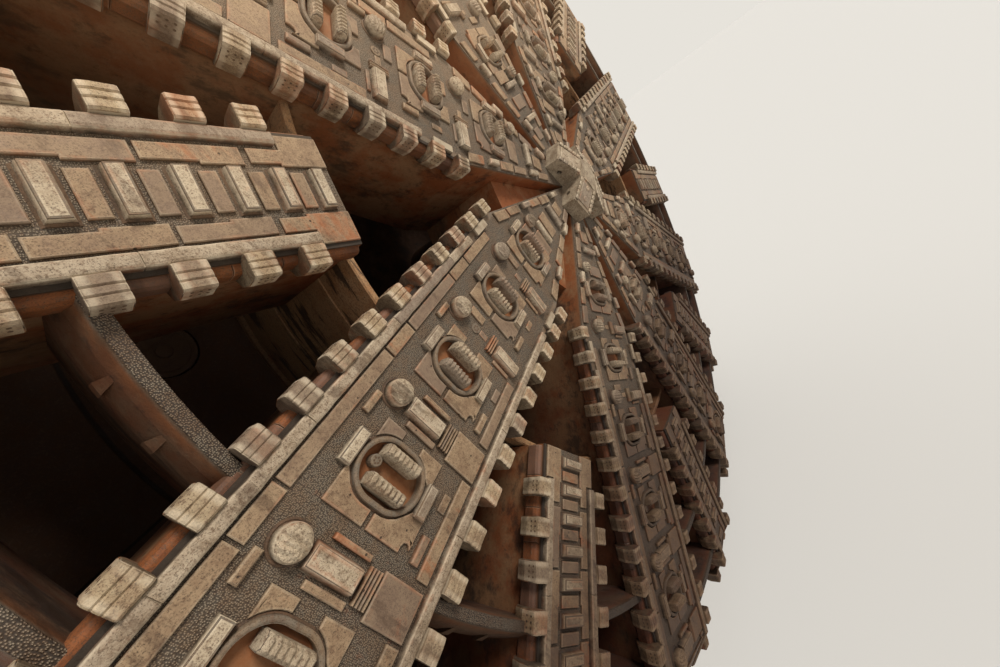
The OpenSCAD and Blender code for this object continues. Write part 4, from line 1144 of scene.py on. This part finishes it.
dress(arm_finish("hub_steel", long_angles[0], NO_BARS, HUB_FRONT), "hub")
bit_steel = plain_finish("centre_bit_steel", linear(130, 112, 90), linear(166, 150, 126), ORANGE, 0.0)
dress(bit_steel, "centre_bit")
for node, inner, gussets in (("middle_ring", 6.82, True), ("outer_ring", 7.74, False)):
    steel = arm_finish(f"{node}_steel", long_angles[0], NO_BARS, RING_FRONT, BROWN, (BROWN, DEEP_RUST))
    ring = make_piece(f"{node}_bevelled", ring_kit(inner, gussets), long_angles[0], steel)
    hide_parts(node)
print("rings placed")

# %% [markdown]
# Behind the arms' inner halves stands the head's round support wall, rust brown with black runs, and darker
# towards its back as painted shade. It is a rolled shell with a rounded front lip and two welded bands, so
# one profile is carried round a circle.

# %% Inner drum
DRUM_R = 5.11
DEPTH_BUMPS = (0.006, 0.012)
# Depths behind the face, and the most share, of painted shade on parts deep in the head and on the drum's
# back.
DEPTH_SHADE = (0.2, 2.2, 0.7)
DRUM_SHADE = (2.2, 3.4, 0.5)
DRUM_PROFILE = np.array([[0.000, 0.365], [-0.015, 0.350], [-0.065, 0.350], [-0.080, 0.365], [-0.080, 3.40],
                         [0.045, 3.40], [0.045, 3.30], [0.000, 3.27], [0.000, 2.30], [0.012, 2.29],
                         [0.012, 2.24], [0.000, 2.23], [0.000, 1.03], [0.012, 1.02], [0.012, 0.97],
                         [0.000, 0.96]])
dress(plain_finish("rim_band_steel", BROWN, TAN, ORANGE, 0.0, DEPTH_BUMPS, DEPTH_SHADE), "rim_band")
leg_steel = plain_finish("leg_steel", DEEP_RUST, BROWN, ORANGE, 0.0, DEPTH_BUMPS, DEPTH_SHADE)
drum_steel = plain_finish("drum_steel", linear(158, 114, 74), linear(170, 134, 96), linear(152, 84, 42), 0.03,
                          (0.004, 0.010), DRUM_SHADE, runs=True, metallic=0.05)
drum = Kit()
drum.ring(circle(0.0, 0.0, DRUM_R, 240), DRUM_PROFILE)
make_piece("inner_drum", drum, 0.0, drum_steel)
print("drum radius", DRUM_R, "points", drum.count)

# %% [markdown]
# Two air locks open through the bulkhead, one on each side a little above the axis, and round doors close
# them in front. Each door is a dished disc with a raised middle and two hinge ribs. They ride the shield.

# %% Lock doors
LOCK_AT = (5.6, 1.8)
DOOR_PROFILE = ((0.400, -2.94), (0.400, -3.03), (0.388, -3.042), (0.330, -3.042), (0.312, -3.022),
                (0.110, -3.030), (0.095, -3.060), (0.050, -3.066))
doors = Kit()
for x in (-LOCK_AT[0], LOCK_AT[0]):
    doors.loft(stack([(circle(x, LOCK_AT[1], r, 48), y - FACE_Y) for r, y in DOOR_PROFILE]), 0.3)
    for z in (LOCK_AT[1] - 0.16, LOCK_AT[1] + 0.16):
        rib = box_outline(x - 0.26, x + 0.26, z - 0.014, z + 0.014)
        doors.loft(stack(((rib, -3.00 - FACE_Y), (rib, -3.046 - FACE_Y))), 0.6)
# Deep in the head, the doors are darkened by painted shade.
door_steel = plain_finish("lock_door_steel", BROWN, TAN, ORANGE, 0.0, DEPTH_BUMPS, DEPTH_SHADE)
make_piece("lock_doors", doors, 0.0, door_steel, body="shield")
dress(leg_steel, "head_legs", "mixing_bars")
print("points on the doors:", doors.count)

# %% [markdown]
# The machine behind the head is painted, each unit in the colour of its kind: greys for the housing and the
# rams, yellow for the frame, orange for the erector. The paint is dusty, chipped and streaked downwards. In
# front of the bulkhead, where the dug soil falls, it is under a dark wet coat, so paint gives way to soil at
# one depth.

# %% Paints
SOIL_Y = -3.0
SCREW_SOIL_Y = -1.6
SHIELD_SKIN = 8.61
DUST = linear(150, 138, 120)
PRIMER = linear(120, 66, 38)
HOUSING_GREY = (120, 132, 138)


def from_axis(finish):
    """Angle about the drive axis, the depth y, and the distance: root of x squared plus height squared."""
    x, y, z = finish.split()
    up = finish.math("SUBTRACT", z, AXIS_Z)
    squares = finish.math("ADD", finish.times(x, x), finish.times(up, up))
    return finish.math("ARCTAN2", up, x), y, finish.math("SQRT", squares)


def soil_coat(finish, colour, rough, start=SOIL_Y):
    """Covers a colour with dark soil where the depth y is in front of a start, inside the shield."""
    depth, reach = from_axis(finish)[1:]
    lumps = finish.noise(2.2, 6.0, 0.7)
    fine = finish.noise(40.0, 5.0, 0.7)
    soil = finish.coats(SOOT_AND_SHADE, (lumps, 0.35, 0.62, 1.0, SOIL_AND_SHADE), (fine, 0.50, 0.68, 0.5, DEEP_RUST))
    ragged = finish.math("ADD", depth, finish.times(lumps, 0.10))
    inside = finish.step(reach, SHIELD_SKIN, SHIELD_SKIN - 0.02)
    share = finish.times(finish.step(ragged, start + 0.10, start), inside)
    return finish.mix(share, colour, soil), finish.math("MAXIMUM", rough, finish.times(share, 0.8))


def painted_finish(name, paint, soil_from=SOIL_Y):
    """Paint that is dusty in patches and in runs, and chipped to primer where two noises are both high."""
    finish = Finish(name)
    big = finish.noise(0.7, 5.0, 0.6)
    medium = finish.noise(5.0, 5.0, 0.65)
    fine = finish.noise(45.0, 4.0, 0.7)
    run = finish.noise(3.0, 5.0, 0.6, stretch=(1.0, 1.0, 0.12))
    spots = finish.step(finish.mean(medium, fine), 0.62, 0.66)
    colour = finish.coats(linear(*paint), (big, 0.35, 0.65, 0.35, DUST), (run, 0.52, 0.70, 0.55, DUST))
    colour, rough = soil_coat(finish, finish.over(colour, (spots, PRIMER)),
                              finish.gloss(medium, 0.42, 0.67), soil_from)
    return finish.done(colour, rough, finish.weigh((fine, 0.0012), (spots, -0.0015)))


PAINTS = (
    ("ram_plate_paint", (146, 150, 144), ("ram_plate",)),
    ("lock_paint", (84, 70, 56), ("air_locks",)),
    ("housing_paint", HOUSING_GREY, ("bearing_housing", "erector_track")),
    ("motor_paint", (62, 84, 98), ("drive_motors", "screw_drive")),
    ("ram_paint", (94, 108, 116), ("ram_barrels",)),
    ("shoe_paint", (104, 88, 66), ("ram_shoes",)),
    ("gate_paint", (176, 136, 52), ("screw_gate",)),
    ("frame_paint", (190, 152, 60), ("deck_girders", "tow_lugs")),
    ("erector_paint", (196, 104, 42), ("erector_ring", "erector_arm")),
    ("gripper_paint", (160, 164, 160), ("erector_gripper",)),
)
dress(painted_finish("casing_paint", HOUSING_GREY, SCREW_SOIL_Y), "screw_casing")
for name, paint, wearers in PAINTS:
    dress(painted_finish(name, paint), *wearers)
print("paints:", 1 + len(PAINTS))

# %% [markdown]
# The shield's skin is bent from plates and welded: a ring seam every 2.9 m and long seams that shift from one
# row of plates to the next. The seams are worked out from the angle about the axis and the depth, so they
# need no geometry, and each plate gets its own shade.

# %% Shield
SKIN_PLATE = 2.9
SKIN_TURN = math.radians(15.0)
ROW_SHIFT = 0.62
SKIN_SHADES = (linear(150, 153, 144), linear(166, 166, 154))
SKIN_GRIME = linear(112, 98, 78)
SKIN_RUNS = linear(124, 86, 56)
SKIN_PATCH = linear(94, 78, 60)
SKIN_HALO = linear(118, 74, 46)
SKIN_BEAD = linear(74, 56, 42)
SKIN_SPOT = linear(104, 60, 36)


def shield_finish():
    """Rust where the way to the nearest seam is short: the smaller of two ping-pongs, of depth and angle."""
    finish = Finish("shield_paint", specular=0.2)
    big = finish.noise(0.6, 6.0, 0.62)
    medium = finish.noise(5.0, 6.0, 0.7)
    fine = finish.noise(45.0, 5.0, 0.75)
    run = finish.noise(2.2, 6.0, 0.7, stretch=(1.0, 1.0, 0.07))
    turn, depth = from_axis(finish)[:2]
    row = finish.math("FLOOR", finish.math("DIVIDE", depth, SKIN_PLATE))
    shifted = finish.math("ADD", turn, finish.times(row, SKIN_TURN * ROW_SHIFT))
    along = finish.times(finish.math("PINGPONG", shifted, SKIN_TURN), SHIELD_SKIN)
    nearest = finish.math("MINIMUM", finish.math("PINGPONG", depth, SKIN_PLATE / 2), along)
    column = finish.math("FLOOR", finish.math("DIVIDE", shifted, 2 * SKIN_TURN))
    cell = finish.add("ShaderNodeCombineXYZ", {"X": row, "Y": column}).outputs[0]
    lot = finish.add("ShaderNodeTexWhiteNoise", {"Vector": cell}).outputs["Value"]
    halo = finish.times(finish.step(nearest, 0.24, 0.02), finish.step(medium, 0.40, 0.60, 0.10, 0.75))
    bead = finish.step(nearest, 0.030, 0.016)
    spots = finish.step(finish.mean(medium, fine), 0.57, 0.61)
    colour = finish.coats(finish.mix(lot, *SKIN_SHADES), (big, 0.38, 0.64, 0.55, SKIN_GRIME),
                          (run, 0.50, 0.68, 0.60, SKIN_RUNS), (medium, 0.56, 0.66, 0.45, SKIN_PATCH))
    colour = finish.over(colour, (halo, SKIN_HALO), (finish.times(bead, 0.7), SKIN_BEAD), (spots, SKIN_SPOT))
    colour, rough = soil_coat(finish, colour, finish.gloss(medium, 0.62, 0.88))
    return finish.done(colour, rough, finish.weigh((fine, 0.002), (bead, 0.008), (spots, -0.002)))


dress(shield_finish(), "front_shield", "tail_shield")
print("skin seams every", SKIN_PLATE, "m")

# %% [markdown]
# The bulkhead is a wall of welded plates under wet soil. It shows in the gaps between the arms, so its seams
# matter: curved ones every 1.15 m outwards and straight ones every 22.5 degrees. Its back is painted pale.

# %% Bulkhead
BULKHEAD_RINGS = 1.15
SEAM_BLACK = linear(16, 10, 6)
BACK_PAINT = (linear(150, 156, 152), linear(122, 122, 112))


def bulkhead_finish():
    """Seams where a ping-pong of the distance, or of the angle times the distance, comes near to zero."""
    finish = Finish("bulkhead_steel", metallic=0.05)
    colour, medium, fine = worn_steel(finish, SOIL_AND_SHADE, linear(84, 56, 34), DEEP_RUST, 0.02)
    turn, depth, reach = from_axis(finish)
    curved = finish.step(finish.math("PINGPONG", reach, BULKHEAD_RINGS), 0.040, 0.010)
    spokes = finish.times(finish.math("PINGPONG", turn, math.radians(SECTOR / 2)), reach)
    seam = finish.math("MAXIMUM", curved, finish.step(spokes, 0.030, 0.008))
    paint = finish.mix(finish.step(medium, 0.4, 0.65), *BACK_PAINT)
    colour = finish.over(colour, (0.55, SOIL_AND_SHADE), (finish.times(seam, 0.8), SEAM_BLACK),
                         (finish.step(depth, SOIL_Y + 0.05, SOIL_Y + 0.10), paint))
    return finish.done(colour, finish.gloss(medium, 0.6, 0.85),
                       finish.weigh((fine, 0.006), (seam, -0.012)))


dress(bulkhead_finish(), "bulkhead")
print("bulkhead seams every", BULKHEAD_RINGS, "m")

# %% [markdown]
# Machined parts stay bare: the drive ring and the shaft are turned steel, the ram rods are chromed, the
# auger and the rails are rubbed clean by use. They differ only in colour, gloss and how much is metal.

# %% Bare steel and concrete
# Name, base, pale, specks, roughness from and to, metallic, where the soil starts, wearers
BARE_STEELS = (
    ("machined_steel", (132, 130, 124), linear(160, 158, 150), DEEP_RUST, (0.32, 0.55), 0.6, SOIL_Y,
     ("drive_ring", "centre_shaft")),
    ("auger_steel", (120, 112, 102), GREY, DEEP_RUST, (0.4, 0.6), 0.5, SCREW_SOIL_Y, ("screw_auger",)),
    ("rod_chrome", (198, 198, 200), linear(210, 210, 210), DUST, (0.12, 0.24), 0.9, SOIL_Y, ("ram_rods",)),
    ("rail_steel", (120, 112, 104), GREY, DEEP_RUST, (0.4, 0.6), 0.4, SOIL_Y, ("cradle_rails",)),
)


def bare_steel(name, base, pale, specks, rough, metallic, soil_from):
    """Machined steel with fine marks, dulled by patches of dust, under soil in front of the bulkhead."""
    finish = Finish(name, metallic=metallic)
    medium = finish.noise(4.0, 5.0, 0.6)
    fine = finish.noise(70.0, 4.0, 0.7)
    colour = finish.coats(linear(*base), (medium, 0.4, 0.65, 1.0, pale), (fine, 0.58, 0.70, 0.5, specks))
    colour, gloss = soil_coat(finish, colour, finish.gloss(medium, *rough), soil_from)
    return finish.done(colour, gloss, finish.times(fine, 0.0004))


for *values, wearers in BARE_STEELS:
    dress(bare_steel(*values), *wearers)
dress(tool_steel, "overcut_tool")

concrete = Finish("cradle_concrete")
pores = concrete.noise(38.0, 6.0, 0.7)
stain = concrete.noise(0.9, 6.0, 0.65)
tone = concrete.coats(linear(176, 168, 154), (stain, 0.35, 0.68, 1.0, linear(142, 134, 120)),
                      (pores, 0.62, 0.7, 0.5, linear(104, 96, 84)))
rough = concrete.gloss(pores, 0.75, 0.95)
dress(concrete.done(tone, rough, concrete.times(pores, 0.004)), "cradle_base")
print("finishes set on", len(nodes), "nodes")

# %% [markdown]
# A plain studio: a pale floor that takes the shadow, a pale backdrop that only the camera, mirrors and glass
# see, a key lamp high on the front right, and weaker ones from the left and from behind. The machine is so
# long that lamps near it would light its head and its tail unequally, so all are distant, with soft edges.

# %% Studio
FLOOR_HALF = 500.0
FLOOR_Z = -0.002
world = bpy.data.worlds.new("studio")
bpy.context.scene.world = world
world.use_nodes = True
tree = world.node_tree
tree.nodes.clear()


def either(a, b):
    """One where either of two light-path values is one: their sum, clamped."""
    return add_node(tree, "ShaderNodeMath", {0: a, 1: b}, use_clamp=True).outputs[0]


path = add_node(tree, "ShaderNodeLightPath").outputs
seen = either(either(path["Is Camera Ray"], path["Is Glossy Ray"]), path["Is Transmission Ray"])
lit = add_node(tree, "ShaderNodeBackground", {"Color": (1.0, 0.97, 0.93, 1.0), "Strength": 0.33})
bright = add_node(tree, "ShaderNodeBackground", {"Color": linear(231, 227, 219), "Strength": 1.0})
mixed = add_node(tree, "ShaderNodeMixShader", {0: seen, 1: lit.outputs[0], 2: bright.outputs[0]})
add_node(tree, "ShaderNodeOutputWorld", {"Surface": mixed.outputs[0]})

floor_finish = Finish("studio_floor", specular=0.1)
floor_finish.shader.inputs["Base Color"].default_value = linear(212, 211, 208)
floor_finish.shader.inputs["Roughness"].default_value = 0.9
corners = [(x * FLOOR_HALF, y * FLOOR_HALF, FLOOR_Z) for x, y in ((-1, -1), (1, -1), (1, 1), (-1, 1))]
floor_mesh = bpy.data.meshes.new("studio_floor")
floor_mesh.from_pydata(corners, [], [(0, 1, 2, 3)])
floor_mesh.materials.append(floor_finish.material)
floor = bpy.data.objects.new("studio_floor", floor_mesh)
bpy.context.scene.collection.objects.link(floor)


def distant_lamp(name, toward, strength, soft, colour):
    """A lamp at infinity whose light comes from a direction; soft is its angle in degrees."""
    data = bpy.data.lights.new(name, "SUN")
    data.energy = strength
    data.angle = math.radians(soft)
    data.color = colour
    lamp = bpy.data.objects.new(name, data)
    lamp.matrix_world = Vector(toward).to_track_quat("Z", "Y").to_matrix().to_4x4()
    bpy.context.scene.collection.objects.link(lamp)


distant_lamp("key", (0.25, -0.66, 0.70), 3.30, 18.0, (1.0, 0.96, 0.90))
distant_lamp("fill", (-0.75, -0.50, 0.30), 0.65, 60.0, (0.94, 0.97, 1.0))
distant_lamp("back", (0.35, 0.80, 0.35), 0.7, 60.0, (1.0, 0.98, 0.95))
print("studio ready")
